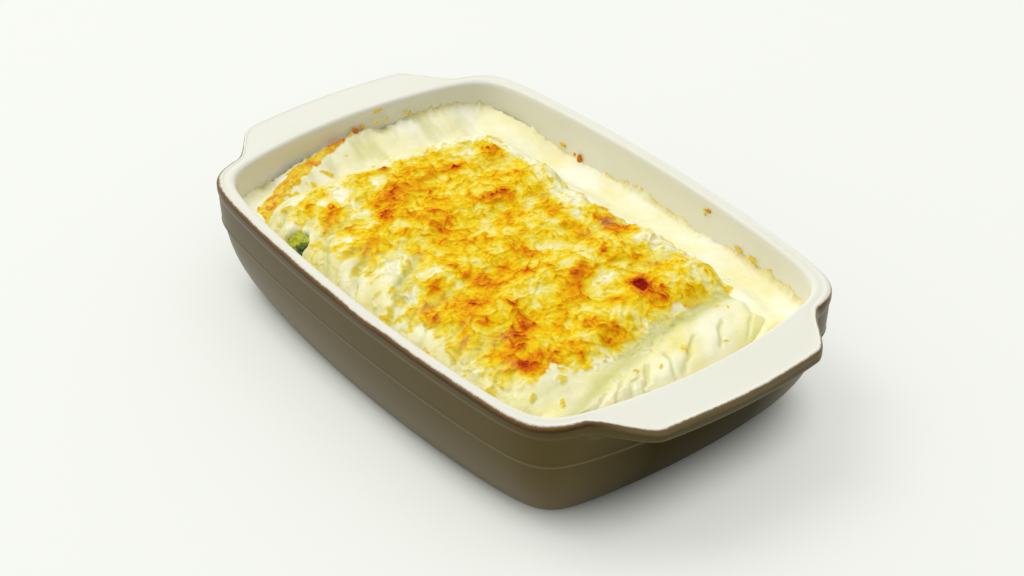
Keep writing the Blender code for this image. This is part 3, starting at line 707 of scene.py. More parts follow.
def bubble_crests(x, y, bent_x, bent_y):
    """Rims of large and of small burst bubbles, along the borders between cells. Each kind
    is present in some places and absent in others."""
    present = smoothstep(0.75 + 1.3 * layered_noise(x, y, 12, 71))
    large = burst_rims(cell_edges(bent_x, bent_y, 8.5, 81), 0.60, 0.5, 0.45, 1.2)
    present_small = smoothstep(0.6 + 1.3 * layered_noise(x, y, 8, 73))
    small = burst_rims(cell_edges(bent_y + 50, bent_x, 4.4, 83), 0.5, 0.4, 0.55, 0.8)
    return large * present, small * present_small


def thread_net(x, y, bent_x, bent_y):
    """A net of fine threads: the lines on which two noises are 0, each in some places."""
    line_1 = np.exp(-((layered_noise(bent_x, bent_y, 7.5, 93, 2) / 0.055) ** 2))
    line_2 = np.exp(-((layered_noise(bent_y, bent_x, 5.2, 97, 2) / 0.075) ** 2))
    some_1 = smoothstep(0.15 + 1.6 * layered_noise(x, y, 10, 103, 2))
    some_2 = smoothstep(0.15 + 1.6 * layered_noise(x, y, 8, 105, 2))
    return np.maximum(line_1 * some_1, line_2 * some_2)


def toasting(x, y, bank, texture):
    """How strongly each place is toasted: an even share, more at the toasted marks and on
    the bank, less at the pale places, moved by noise, and then scaled by the texture.
    The strongest marks burn through the texture."""
    scorched = marks(x, y, SCORCHES + BANK_SCORCHES)
    toast = 0.46 + 1.1 * (1 - np.exp(-scorched)) + 1.3 * np.clip(scorched - 1.3, 0, 2)
    toast = toast + 0.08 * bank
    toast = toast - 0.70 * np.clip(marks(x, y, PALE_PLACES), 0, 1)
    toast = toast + 0.30 * layered_noise(x, y, 9, 101)
    texture = texture * (1 - 0.45 * smoothstep(scorched - 0.5))
    browning = np.clip(toast, 0.04, 2.4) * (0.70 + 0.9 * texture) + 0.26 * texture
    return browning + 1.6 * smoothstep((scorched - 1.9) / 0.9)


def crust_sheet(settings):
    """Relief and browning of the whole crust on one fine grid, as functions of place.

    Relief is lumps, puffs, the raised rims of burst bubbles, melted shreds, threads and grain, in
    millimetres; where there is no crust it is a calm swell. Browning follows the toasted marks and
    the crests, is spread evenly from 0 to 1 by rank inside the crust, and fades at its edge; the
    flecks round it are golden. The sheet also holds the pads, the valleys between them and the
    strength of the painted green shade in the valleys.
    """
    sheet = Sheet(SHEET_LOW, SHEET_HIGH, settings.cell / MM)
    x, y = sheet.x, sheet.y
    with_grain = GRAIN_Y * y + GRAIN_X * x
    drawn_out = (1 - 1 / settings.grain) * with_grain
    bent_x = x - GRAIN_X * drawn_out + 3.0 * layered_noise(x, y, 11, 51)
    bent_y = y - GRAIN_Y * drawn_out + 3.0 * layered_noise(x, y, 11, 61)
    lumps = layered_noise(bent_x, bent_y, 15, 5)
    puffs = 1 - 2 * np.abs(layered_noise(bent_x, bent_y, 6.5, 15, 2))
    rims, small_rims = bubble_crests(x, y, bent_x, bent_y)
    shreds = curved_shreds(sheet, settings.shreds, 7)
    grain = layered_noise(x, y, 1.4, 91, 2)
    threads = thread_net(x, y, bent_x, bent_y)
    bank_away, _, bank_width = bank_place(x, y)
    torn = 2.2 * layered_noise(x, y, 6, 33)
    bank = smoothstep((bank_width + torn * np.clip(bank_width / 3, 0.2, 1) - bank_away) / 1.1)
    mound = crust_cover(x, y)
    flecks = fleck_cover(x, y)
    cover = np.maximum(mound, bank)
    full = np.maximum(cover, 0.70 * flecks)
    crests = np.clip(0.75 * rims + 0.50 * small_rims + 0.42 * shreds, 0, 1.6)
    relief = 0.95 * lumps + 0.50 * puffs + 0.85 * crests + 0.45 * threads + 0.08 * grain
    calm = 0.70 * layered_noise(x, y, 17, 25) + 0.16 * layered_noise(x, y, 5, 27)
    texture = 0.48 * crests - 0.16 + 0.10 * puffs + 0.12 * grain + 0.58 * threads
    browning = toasting(x, y, bank, texture)
    levels = np.sort(browning[mound > 0.5])
    ranks = np.interp(browning, levels, np.linspace(0, 1, len(levels)))
    ranks = ranks * smoothstep(cover * 1.8)
    sheet.values["relief"] = full * relief * settings.roughness + (1 - 0.7 * full) * calm
    sheet.values["browning"] = np.maximum(ranks, flecks * (0.46 + 0.26 * threads + 0.22 * grain))
    sheet.values["cover"] = full
    sheet.values["pads"] = marks(x, y, PADS)
    sheet.values["valleys"], sheet.values["green"] = strokes(
        x + 1.2 * noise(x, y, 7, 55), y + 1.2 * noise(x, y, 7, 57), FOLD_LINES
    )
    return sheet


# ---------------------------------------------------------------- the rolls
def row_edge(number, y):
    """Place in X, at y, of the line between one roll and the next: the lines lean more and
    more, and the last one curves with the dish's end. The first one is the skin's flank."""
    if number == ROLL_COUNT:
        return ROW_END - ROW_END_BOW * (2 * y / ROLL_LENGTH) ** 2
    lean = ROW_FAN * (number / (ROLL_COUNT - 1)) ** 2
    start = ROW_START - FIRST_FLANK * (number == 0)
    return start + ROLL_PITCH * number + lean * (ROLL_MIDDLE_Y - y) / ROLL_LENGTH


def blanket(number, across, place, tops, ends):
    """The smooth top of the food over one roll, before its relief.

    across runs from -1 to 1 between the roll's two row lines, and place is the length
    along the roll, unrolled over its ends. The top is a crest that falls to the groove on
    either side as a power of across. Past the ends it turns down as a quarter ellipse.
    Returns x, y, z and the angle that the top has turned down by, negative at -Y.
    """
    crests, grooves = tops
    centre = number - 0.5 + across / 2
    lobe = np.abs(across) ** 3
    near = np.interp(centre, ends["at"], ends["near"])
    far = np.interp(centre, ends["at"], ends["far"]) - ends["far_lobe"] * lobe
    far = far + FAR_WANDER * layered_noise(centre * ROLL_PITCH / MM, 0 * centre, 17.0, 251, 2)
    turn_near = np.clip((near - place) / ends["near_run"], 0, 1) * np.pi / 2
    turn_far = np.clip((place - far) / ends["far_run"], 0, 1) * np.pi / 2
    y = np.clip(place, near, far)
    y = y - ends["near_reach"] * np.sin(turn_near) + ends["far_reach"] * np.sin(turn_far)
    left, right = row_edge(number - 1, y), row_edge(number, y)
    x = left + (right - left) * (across + 1) / 2
    crest = crests[number - 1]
    outer = (across < 0) & (number == 1)
    if number >= ROLL_COUNT - 1:
        crest, grooves, across, outer = beside_crease(x, y, crests, grooves)
        number = 1
    beside = np.where(across < 0, grooves[number - 1], grooves[number])
    deeper = ends["near_deeper"] * smoothstep(1 - (place - near) / ends["groove_run"])
    deeper = deeper + ends["far_deeper"] * smoothstep(1 - (far - place) / ends["groove_run"])
    side = np.where(outer, beside, beside - deeper)
    flank = np.abs(across) ** ends["flank"]
    fall = np.where(outer, flank, (1 - np.cos(np.pi * across)) / 2)
    top = crest - (crest - side) * fall
    foot = np.where(turn_near > 0, ends["near_foot"], ends["far_foot"])
    z = foot + (top - foot) * np.cos(turn_near) * np.cos(turn_far)
    return x, y, z, turn_far - turn_near


def crease_line(y):
    """Place in X, at y, of the crease between the last two rolls. Towards -Y it bends away
    from the row line and closes in on the dish's end."""
    bend = np.clip((CREASE_BEND_Y - y) / CREASE_BEND_RUN, 0, 1.3)
    return row_edge(ROLL_COUNT - 1, y) + CREASE_BEND * bend**1.15


def beside_crease(x, y, crests, grooves):
    """Crest height, heights of the grooves on both sides, the place across from -1 to 1,
    and where the row's outer flank is, for the last two rolls as the crease divides them."""
    crease = crease_line(y)
    last = x > crease
    left = np.where(last, crease, row_edge(ROLL_COUNT - 2, y))
    right = np.where(last, row_edge(ROLL_COUNT, y), crease)
    across = np.clip(2 * (x - left) / np.maximum(right - left, 0.002) - 1, -1, 1)
    crest = np.where(last, crests[-1], crests[-2])
    beside = [np.where(last, *pair) for pair in zip(grooves[-2:], grooves[-3:-1])]
    return crest, beside, across, last & (across > 0)


def roll_tops():
    """Crest heights of the rolls and heights of the grooves beside them."""
    crests = [high.z + SKIN_RISE for _, high in ROLL_BOXES]
    crests[-1] = ROLL_BOXES[-1][1].z + LAST_SKIN_RISE
    groove = min(crests[:-1]) - GROOVE_DEPTH
    return crests, [FIRST_GROOVE] + [groove] * (ROLL_COUNT - 2) + [LAST_GROOVE, END_GROOVE]


def roll_ends():
    """Where the rolls' tops turn down at either end, and how. Both lines draw in before the
    first roll's middle, and most at its flank."""
    near = np.array([low.y for low, _ in ROLL_BOXES]) + NEAR_TURN
    near[-1] -= LAST_NEAR_REACH
    far = np.array([high.y for _, high in ROLL_BOXES]) - FAR_TURN
    far = far + far_growth(np.arange(ROLL_COUNT) + 0.5)
    return {
        "at": np.concatenate([[0.0, 0.2], np.arange(ROLL_COUNT) + 0.5]),
        "near": np.concatenate([[near[0] + 0.010, near[0] + 0.003], near]),
        "far": np.concatenate([[far[0] - 0.030, far[0] - 0.012], far]),
        "far_lobe": 0.0006,
        "near_reach": 0.0150,
        "far_reach": 0.0100,
        "near_run": 0.0215,
        "far_run": 0.0200,
        "near_foot": 0.0375,
        "far_foot": 0.0300,
        "near_deeper": 0.0002,
        "far_deeper": 0.0006,
        "groove_run": 0.0280,
        "flank": 3.6,
    }


def build_roll(number, settings, sheet, material):
    """Rings across the roll, from its far end to its near end. The upper part of each is
    the blanket raised square to its own slope by the relief; the lower part is flat."""
    tops, ends = roll_tops(), roll_ends()
    low_edge = -1 - OVERLAP * (number > 1)
    high_edge = 1 + OVERLAP * (number < ROLL_COUNT)
    across = np.linspace(high_edge, low_edge, int(ROLL_PITCH / settings.grid) + 1)
    first = max(ends["far"]) + ends["far_run"]
    last = min(ends["near"]) - ends["near_run"]
    place = np.linspace(first, last, int((first - last) / settings.grid))
    grid_across, grid_place = np.meshgrid(across, place)
    x, y, z, turn = blanket(number, grid_across, grid_place, tops, ends)

    def read(key):
        return sheet.read(key, x / MM, grid_place / MM)

    folds, fold_depth = near_folds(x, grid_place)
    relief = read("relief") * MM + folds + read("pads") * MM - read("valleys") * MM
    past = np.clip(np.abs(grid_across) - 1, 0, 1) / OVERLAP
    relief = relief - UNDER_NEXT * past**2
    if number >= ROLL_COUNT - 1:
        relief = relief + last_roll_folds(x, grid_place)
    if number == 1:
        relief = relief - open_end(x, grid_place)
    fade = np.sqrt(np.cos(turn))
    top = np.stack([x, y + relief * np.sin(turn), z + relief * np.cos(turn) * fade], axis=-1)
    bottom_z = ROLL_BOXES[number - 1][0].z
    under_across = np.linspace(-1, 1, 8)
    left, right = row_edge(number - 1, y[:, :1]), row_edge(number, y[:, :1])
    under_x = left + (right - left) * (under_across + 1) / 2
    under_y = np.repeat(y.mean(axis=1, keepdims=True), len(under_across), axis=1)
    under = np.stack([under_x, under_y, np.full_like(under_x, bottom_z)], axis=-1)
    rings = np.concatenate([top, under], axis=1)
    # How much painted shade each place gets: in the creases, in the near folds and in the valleys
    # between the pads
    crease = hollow(number, grid_across, grid_place, x, y, ends)
    crease = np.maximum(crease, np.maximum(0.75 * fold_depth, read("green")))
    above = {"browning": read("browning"), "cover": read("cover"), "hollow": crease}
    nothing = np.zeros(under_x.shape)
    values = {key: np.concatenate([part, nothing], axis=1) for key, part in above.items()}
    return add_loft(
        f"cannellone_{number}", rings, material, (f"roll_{number}",), values
    )


def hollow(number, across, place, x, y, ends):
    """How deep a place lies in a crease, which is how much painted shade it gets: near the row lines
    at the ends, and, as a bell over the distance to it, in the crease between the last two rolls."""
    to_near = place - ends["near"].mean()
    to_far = ends["far"].mean() - place
    near_ends = smoothstep(1 - np.minimum(to_near, to_far) / 0.016)
    crease = smoothstep((np.abs(across) - 0.70) / 0.30) * near_ends * 0.35
    if number >= ROLL_COUNT - 1:
        wander = 0.0010 * noise(x / MM, y / MM, 9.0, 241)
        away = (x - crease_line(y) + 0.0006 + wander) / CREASE_WIDTH
        crease = np.maximum(crease, np.exp(-(away**2)))
    return crease


def near_folds(x, place):
    """Soft folds where the sauce runs down over the near ends: noise drawn out along Y, strong in
    some places and absent in others. Also how deep each place lies in a fold, which sets the painted
    shade there."""
    reach = smoothstep((-0.045 - place) / 0.014)
    slant = x / MM + 0.55 * place / MM
    wave = layered_noise(slant, place / MM * 0.5, 17.0, 201, 2)
    line = np.abs(layered_noise(slant + 31, place / MM * 0.5, 16.0, 203, 1))
    some = smoothstep(0.1 + 1.4 * noise(x / MM, place / MM, 22.0, 205))
    fold = np.exp(-((line / 0.10) ** 2)) * some
    valley = np.clip(0.45 * fold + 0.35 * smoothstep(-0.1 - 1.3 * wave), 0, 1)
    return reach * (0.0012 * wave - 0.0008 * fold), reach * valley


def last_roll_folds(x, place):
    """Uneven pads of the sunken last roll, and small puckers where its skin has wrinkled,
    more of them towards -Y."""
    slant = (x / MM) * 0.55 + (place / MM) * 0.85
    along = (place - x) / MM * 0.45
    wave = layered_noise(slant, along, 13.0, 211, 2)
    pucker = layered_noise(x / MM, place / MM, 3.2, 223, 2)
    patch = smoothstep(0.3 - place / 0.030 + 1.5 * noise(x / MM, place / MM, 18.0, 225))
    inside = smoothstep((x - crease_line(place)) / 0.004)
    return inside * (0.0008 * wave + 0.0006 * patch * pucker)


def open_end(x, place):
    """How deep the blanket is torn back at the first roll's near end: a leaning superellipse
    of this depth, ragged by noise."""
    depth = 0.0052
    across = ((x - FILLING_SHIFT) / MM + 64.5 + 0.25 * (place / MM + 70)) / 6.4
    down = (place / MM + 70.5) / 8.5
    reach = (np.abs(across) ** 3 + np.abs(down) ** 3) ** (1 / 3)
    ragged = 0.22 * layered_noise(x / MM, place / MM, 7.0, 231, 2)
    return depth * smoothstep((1.20 + ragged - reach) / 0.65)


# ---------------------------------------------------------------- the filling
def build_filling(settings, material):
    """The chopped spinach core, a superellipse tube along Y. Its near end swells upwards
    and closes in a dome, both pushed out in lumps and curls by noise."""
    power = 2 / 2.6
    low, high = FILLING_LOW, FILLING_HIGH
    middle = ((low.x + high.x) / 2 + FILLING_SHIFT, (low.z + high.z) / 2)
    half = ((high.x - low.x) / 2, (high.z - low.z) / 2)
    angle = np.linspace(0, 2 * np.pi, 220, endpoint=False)
    # Where each point stands round a unit section
    out_x = np.sign(np.cos(angle)) * np.abs(np.cos(angle)) ** power
    out_z = np.sign(np.sin(angle)) * np.abs(np.sin(angle)) ** power
    dome_start = low.y + 0.0040
    depth = dome_start - (low.y - settings.bulge)
    # Share of the full section, and place in Y, of each ring from the far end
    along = [(1.0, y) for y in np.linspace(high.y, ROUGH_FILLING_Y, 14)]
    along += [(1.0, y) for y in np.linspace(ROUGH_FILLING_Y, dome_start, 22)[1:]]
    for turn in np.radians(np.linspace(3, 88, 40)):
        along.append((math.cos(turn) ** 0.6, dome_start - depth * math.sin(turn)))
    rings = []
    for size, y in along:
        lumpy = smoothstep((ROUGH_FILLING_Y - y) / 0.006)
        x = middle[0] + half[0] * size * out_x
        z = middle[1] + half[1] * size * out_z
        z = z + settings.swell * lumpy * np.clip(size * out_z, 0, 1)
        place = angle * 10 * size + 20
        lump = layered_noise(place, y / MM + z / MM * 0.5, 2.6, 301, 3)
        curl = 1 - 2 * np.abs(layered_noise(place, y / MM + z / MM, 3.6, 305, 2))
        push = lumpy * (0.0008 * lump + 0.0008 * curl)
        x = x + push * out_x * size
        z = z + push * out_z * size
        rings.append(np.stack([x, y - push * (1 - size), z], axis=1))
    return add_loft("spinach_filling", rings, material, ("filling_1",))


# ---------------------------------------------------------------- the sauce
def sauce_height(x, y):
    """Height of the sauce: level in the middle of the +Y side, and banked up elsewhere by
    smooth steps towards each wall. The banks of the -X end and of its +Y corner are joined
    by a smooth maximum."""
    u = x / (DISH_LENGTH / 2 - RIM_THICKNESS)
    v = y / (DISH_WIDTH / 2 - RIM_THICKNESS)
    near = NEAR_BANK * smoothstep((-v - 0.50) / 0.40)
    last = LAST_BANK * smoothstep((u - 0.80) / 0.16)
    beside_far_wall = smoothstep((v - 0.55) / 0.40)
    far = FAR_BANK * beside_far_wall * smoothstep((u - 0.20) / 0.15)
    end_share = END_BANK_LOW + (1 - END_BANK_LOW) * smoothstep((v + 0.72) / 0.30)
    end = smoothstep((-u - 0.74) / 0.22) * end_share
    corner = beside_far_wall * smoothstep((-u - 0.46) / 0.34)
    rise = (end + corner + np.sqrt((end - corner) ** 2 + 0.02)) / 2 - 0.02
    return SAUCE_LEVEL + near + last + far + END_BANK * np.clip(rise, 0, 1)


def film_height(x, y):
    """Height at which the film of sauce on the wall ends: a line through a few heights
    round the dish, made ragged by noise."""
    bearing = np.degrees(np.arctan2(y / (DISH_WIDTH / 2), x / (DISH_LENGTH / 2)))
    places, heights = np.array(FILM_LINE).T
    line = np.interp(bearing, places, heights)
    ragged = 1.6 * layered_noise(x / MM, y / MM, 9.0, 401, 2)
    spikes = np.clip(layered_noise(x / MM, y / MM, 3.0, 403, 2), -0.3, 1.5)
    ragged = ragged + 1.3 * spikes + 2.4 * np.maximum(spikes, 0) ** 2
    return (line + ragged) * MM


def pocket_outline(ring):
    """Plan of the hollow that the rolls lie in: a little inside the rolls' own outline."""
    tuck = 0.0040
    left, right = ROW_START + tuck * 0.4, ROW_END - tuck
    near = min(low.y for low, _ in ROLL_BOXES) + tuck
    far = max(high.y for _, high in ROLL_BOXES) - tuck
    x = (left + right) / 2 + ring[:, 0] * (right - left) / 2
    y = (near + far) / 2 + ring[:, 1] * (far - near) / 2
    return np.stack([x, y], axis=1)


def sauce_surface(x, y, sheet):
    """Height of the sauce's top with its waves, its streaked slopes and the crust on its bank, and
    the strength of the painted shade in the valleys of the streaks. Streaks are noise drawn out along
    the slope."""
    flat_x, flat_y = x / MM, y / MM
    waves = 0.45 * layered_noise(flat_x, flat_y, 16, 411)
    waves = waves + 0.14 * layered_noise(flat_x, flat_y, 4, 421)
    level = sauce_height(x, y) / MM + waves
    away, height, width = bank_place(flat_x, flat_y)
    level = level + (height - level) * np.exp(-((away / (width + 2.4)) ** 2))
    slope = smoothstep((-flat_x - 84) / 8) * smoothstep((60 - flat_y) / 12)
    slope = slope * smoothstep((flat_y + 62) / 10)
    folds = layered_noise(flat_x * 0.38 + flat_y * 0.2, flat_y, 9.0, 431, 3)
    level = level + 0.45 * slope * folds
    level = level + sheet.read("relief", flat_x, flat_y) * sheet.read("cover", flat_x, flat_y)
    return level * MM, slope * smoothstep(0.25 - 0.8 * folds)


def fillet_share(y):
    """How far the sauce is drawn up against the rolls: most at +Y, less at the two ends,
    and not at all at -Y."""
    far = smoothstep((y - 0.030) / 0.015)
    return (0.45 + 0.55 * far) * smoothstep((y + 0.060) / 0.020)


def build_sauce(settings, sheet, material):
    """One loft: up against the dish, in over the sauce's top, and down into the hollow
    under the rolls. The top is the sauce's surface, drawn up to the film's edge by a
    falling exponential of the distance from the wall, and up against the rolls by a bell
    over the distance to them."""
    ring = square_ring(settings.short_points, settings.long_points, CORNER_POWER)
    pocket = pocket_outline(ring)
    rings, attributes = [], []
    nothing = np.zeros(len(ring))

    def add(outline, z, *values):
        height = np.broadcast_to(z, (len(outline),))
        rings.append(np.stack([outline[:, 0], outline[:, 1], height], axis=1))
        attributes.append(values or (nothing,) * 4)

    for turn in np.radians(np.linspace(0, 90, 6)):
        z = FLOOR_THICKNESS + FLOOR_ROUND * (1 - math.cos(turn))
        add(dish_outline(ring, float(inner_inset(z)) - 0.5 * INTO_WALL), z)
    guess = dish_outline(ring, float(inner_inset(SAUCE_LEVEL)))
    film = film_height(guess[:, 0], guess[:, 1])
    start = FLOOR_THICKNESS + FLOOR_ROUND
    for part in np.linspace(0, 1, 6)[1:]:
        z = start + (film - start) * part
        dried = np.full(len(ring), settings.edge_gold * float(part == 1))
        add(dish_outline(ring, inner_inset(z) - INTO_WALL), z, dried, nothing, nothing, nothing)
    edge = rings[-1][:, :2]
    inward = pocket - edge
    run = np.linalg.norm(inward, axis=1, keepdims=True)
    # Distances from the wall, in metres, of the close rings under the film's edge, and the
    # one from which the rest are spread evenly
    first_steps = (0.0003, 0.0006, 0.0010, 0.0016, 0.0023, 0.0032)
    last_step = 0.0036
    steps = [np.full_like(run, step) for step in first_steps]
    for part in np.linspace(0, 1, settings.rings)[1:]:
        steps.append(last_step + (run - last_step) * part)
    for distance in steps:
        outline = edge + inward * distance / run
        x, y = outline[:, 0], outline[:, 1]
        # streaks is how much painted shade lies in the valleys of the streaked slopes
        level, streaks = sauce_surface(x, y, sheet)
        depth = distance[:, 0]
        to_rolls = np.clip(run[:, 0] - depth - FILLET_FLAT, 0, None)
        drawn_up = settings.fillet * fillet_share(y)
        level = level + drawn_up * np.exp(-((to_rolls / FILLET_FALL) ** 2))
        climb = np.exp(-depth / FILM_DEPTH)
        tall = smoothstep((film - level) / 0.0030)
        gold = settings.edge_gold * (climb * tall + 0.5 * np.exp(-2 * depth / FILM_DEPTH))
        cover = sheet.read("cover", x / MM, y / MM) * (1 - climb)
        browning = sheet.read("browning", x / MM, y / MM)
        add(outline, level + (film - level) * climb, np.clip(gold, 0, 1), cover, browning, streaks)
    middle = pocket.mean(axis=0)
    for z, size in POCKET_RINGS:
        add(middle + (pocket - middle) * size, z)
    names = ("gold", "cover", "browning", "streaks")
    values = {name: np.array([row[k] for row in attributes]) for k, name in enumerate(names)}
    return add_loft("bechamel_sauce", rings, material, ("sauce",), values)


# ---------------------------------------------------------------- crumbs
# Crumbs, in millimetres: x, y, z, half length, half width, half height, turn in degrees, and
# how browned each is
CRUMBS = (
    (33.4, 76.0, 47.0, 1.5, 0.6, 0.8, 10, 0.90), (31.0, 76.2, 46.6, 1.1, 0.5, 0.5, 60, 0.35),
    (31.4, 76.0, 44.4, 0.9, 0.5, 0.5, 0, 0.30), (54.0, 74.0, 39.6, 3.0, 0.6, 0.5, -8, 0.66),
    (63.0, 73.3, 39.8, 3.2, 0.6, 0.5, -10, 0.60), (-47.0, 74.2, 34.6, 1.3, 0.9, 2.5, 0, 0.955),
    (-51.0, 75.0, 35.2, 1.0, 0.6, 0.7, 0, 0.88), (-58.5, 74.2, 36.6, 2.4, 0.8, 0.7, -8, 0.72),
    (-113.7, 2.0, 44.6, 0.9, 1.6, 0.8, 0, 0.97), (-112.6, 12.0, 45.4, 0.5, 2.0, 0.4, 6, 0.60),
    (-112.8, 17.5, 45.2, 0.5, 1.6, 0.4, 0, 0.45), (-112.4, 28.5, 44.8, 0.5, 2.2, 0.4, -6, 0.50),
    (-114.6, 14.5, 49.4, 0.4, 2.6, 0.4, 4, 0.66), (-114.0, 6.0, 44.6, 0.6, 1.4, 0.6, 0, 0.80),
)


def build_crumbs(material):
    """Small crusts stuck to the wall: each is a ball of rings, stretched to its three half
    axes, turned about Z and dented by noise."""
    turns = np.linspace(0, 2 * np.pi, 12, endpoint=False)
    rises = np.radians([-70, -45, -15, 15, 45, 70])
    ball = np.stack(
        [
            np.cos(rises)[:, None] * np.cos(turns),
            np.cos(rises)[:, None] * np.sin(turns),
            np.repeat(np.sin(rises)[:, None], len(turns), axis=1),
        ],
        axis=-1,
    )
    all_points, all_quads, all_triangles, browns = [], [], [], []
    first = 0
    for number, (x, y, z, long, wide, tall, direction, brown) in enumerate(CRUMBS):
        dent = 1 + 0.28 * noise(ball[..., 0] * 3 + number * 7, ball[..., 1] * 3, 1.6, 601)
        shape = ball * dent[..., None] * np.array([long, wide, tall])
        turn = math.radians(direction)
        spun_x = shape[..., 0] * math.cos(turn) - shape[..., 1] * math.sin(turn)
        spun_y = shape[..., 0] * math.sin(turn) + shape[..., 1] * math.cos(turn)
        rings = np.stack([x + spun_x, y + spun_y, z + shape[..., 2]], axis=-1) * MM
        quads, triangles = lofted_faces(len(rises), len(turns), first)
        ends = np.stack([rings[0].mean(axis=0), rings[-1].mean(axis=0)])
        all_points.append(np.concatenate([rings.reshape(-1, 3), ends]))
        all_quads.append(quads)
        all_triangles.append(triangles)
        browns.append(np.full(len(all_points[-1]), brown))
        first += len(all_points[-1])
    points = np.concatenate(all_points)
    values = {
        "browning": np.concatenate(browns),
        "cover": np.ones(len(points)),
        "hollow": np.zeros(len(points)),
    }
    quads, triangles = np.concatenate(all_quads), np.concatenate(all_triangles)
    return add_piece(
        "wall_crumbs", points, quads, triangles, material, values=values
    )


# ---------------------------------------------------------------- shader groups
def node(tree, kind, **settings):
    """A node of this kind, with the named settings and, by socket name, input values."""
    made = tree.nodes.new(kind)
    inputs = settings.pop("inputs", {})
    for key, value in settings.items():
        setattr(made, key, value)
    for key, value in inputs.items():
        made.inputs[key].default_value = value
    return made


def link(tree, source, target):
    tree.links.new(source, target)


def ramp(tree, factor, stops, interpolation="LINEAR"):
    """A colour ramp fed by factor, with (position, linear colour) stops."""
    made = node(tree, "ShaderNodeValToRGB")
    made.color_ramp.interpolation = interpolation
    elements = made.color_ramp.elements
    while len(elements) < len(stops):
        elements.new(0.5)
    for element, (position, colour) in zip(elements, stops):
        element.position = position
        element.color = colour
    link(tree, factor, made.inputs["Fac"])
    return made.outputs["Color"]


def mix(tree, factor, first, second, blend="MIX"):
    """Two colours mixed by a factor; each may be a socket or a plain colour."""
    made = node(tree, "ShaderNodeMix", data_type="RGBA", blend_type=blend)
    for socket, value in ((0, factor), (6, first), (7, second)):
        if isinstance(value, bpy.types.NodeSocket):
            link(tree, value, made.inputs[socket])
        else:
            made.inputs[socket].default_value = value
    return made.outputs[2]


def math_node(tree, operation, first, second=0.0, clamp=False):
    """One sum of two values; each may be a socket or a number."""
    made = node(tree, "ShaderNodeMath", operation=operation, use_clamp=clamp)
    for index, value in enumerate((first, second)):
        if isinstance(value, bpy.types.NodeSocket):
            link(tree, value, made.inputs[index])
        else:
            made.inputs[index].default_value = value
    return made.outputs[0]


def scaled(tree, value, factor, offset):
    """A value times a factor, plus an offset."""
    made = math_node(tree, "MULTIPLY_ADD", value, factor)
    made.node.inputs[2].default_value = offset
    return made


def coordinates(tree, place):
    """The X, the Y and the Z of a place."""
    parts = node(tree, "ShaderNodeSeparateXYZ")
    link(tree, place, parts.inputs[0])
    return [parts.outputs[axis] for axis in "XYZ"]


def spread(tree, value, low, high, new_low=0.0, new_high=1.0):
    """A value moved from one range to another, and held inside it."""
    made = node(tree, "ShaderNodeMapRange", clamp=True)
    link(tree, value, made.inputs["Value"])
    limits = {"From Min": low, "From Max": high, "To Min": new_low, "To Max": new_high}
    for key, number in limits.items():
        made.inputs[key].default_value = number
    return made.outputs["Result"]


def texture_noise(tree, place, size, detail=3.0, roughness=0.55):
    """Noise whose features are about this many metres wide."""
    inputs = {"Scale": 1.0 / size, "Detail": detail, "Roughness": roughness}
    made = node(tree, "ShaderNodeTexNoise", inputs=inputs)
    link(tree, place, made.inputs["Vector"])
    return made.outputs["Fac"]


def new_group(name, inputs, outputs):
    """An empty shader group with its sockets, its input node and its output node."""
    tree = bpy.data.node_groups.new(name, "ShaderNodeTree")
    for label, kind, default in inputs:
        socket = tree.interface.new_socket(label, in_out="INPUT", socket_type=kind)
        if default is not None:
            socket.default_value = default
    for label, kind in outputs:
        tree.interface.new_socket(label, in_out="OUTPUT", socket_type=kind)
    return tree, node(tree, "NodeGroupInput"), node(tree, "NodeGroupOutput")


def toasted_group():
    """Crust colour, gloss and grain from how browned a place is."""
    tree, given, result = new_group(
        "toasted_crust",
        (("Place", "NodeSocketVector", None), ("Browning", "NodeSocketFloat", 0.0)),
        (("Colour", "NodeSocketColor"), ("Gloss", "NodeSocketFloat"), ("Grain", "NodeSocketFloat")),
    )
    place, browning = given.outputs["Place"], given.outputs["Browning"]
    fine = texture_noise(tree, place, 0.0011, 3.0, 0.6)
    swing = math_node(tree, "SUBTRACT", fine, 0.5)
    swing = math_node(tree, "MULTIPLY", swing, spread(tree, browning, 0.80, 0.97, 0.22, 0.03))
    level = math_node(tree, "ADD", browning, swing, clamp=True)
    stops = [(position, linear(colour)) for position, colour in CRUST_COLOURS]
    link(tree, ramp(tree, level, stops), result.inputs["Colour"])
    dull = spread(tree, level, 0.0, 0.7, 0.36, 0.58)
    link(tree, dull, result.inputs["Gloss"])
    grain = texture_noise(tree, place, 0.0007, 2.0, 0.5)
    link(tree, grain, result.inputs["Grain"])
    return tree


# How far the streaks of dried sauce are drawn out along each axis: a smaller share is longer
DRIED_STREAKS = (1.0, 1.0, 0.3)


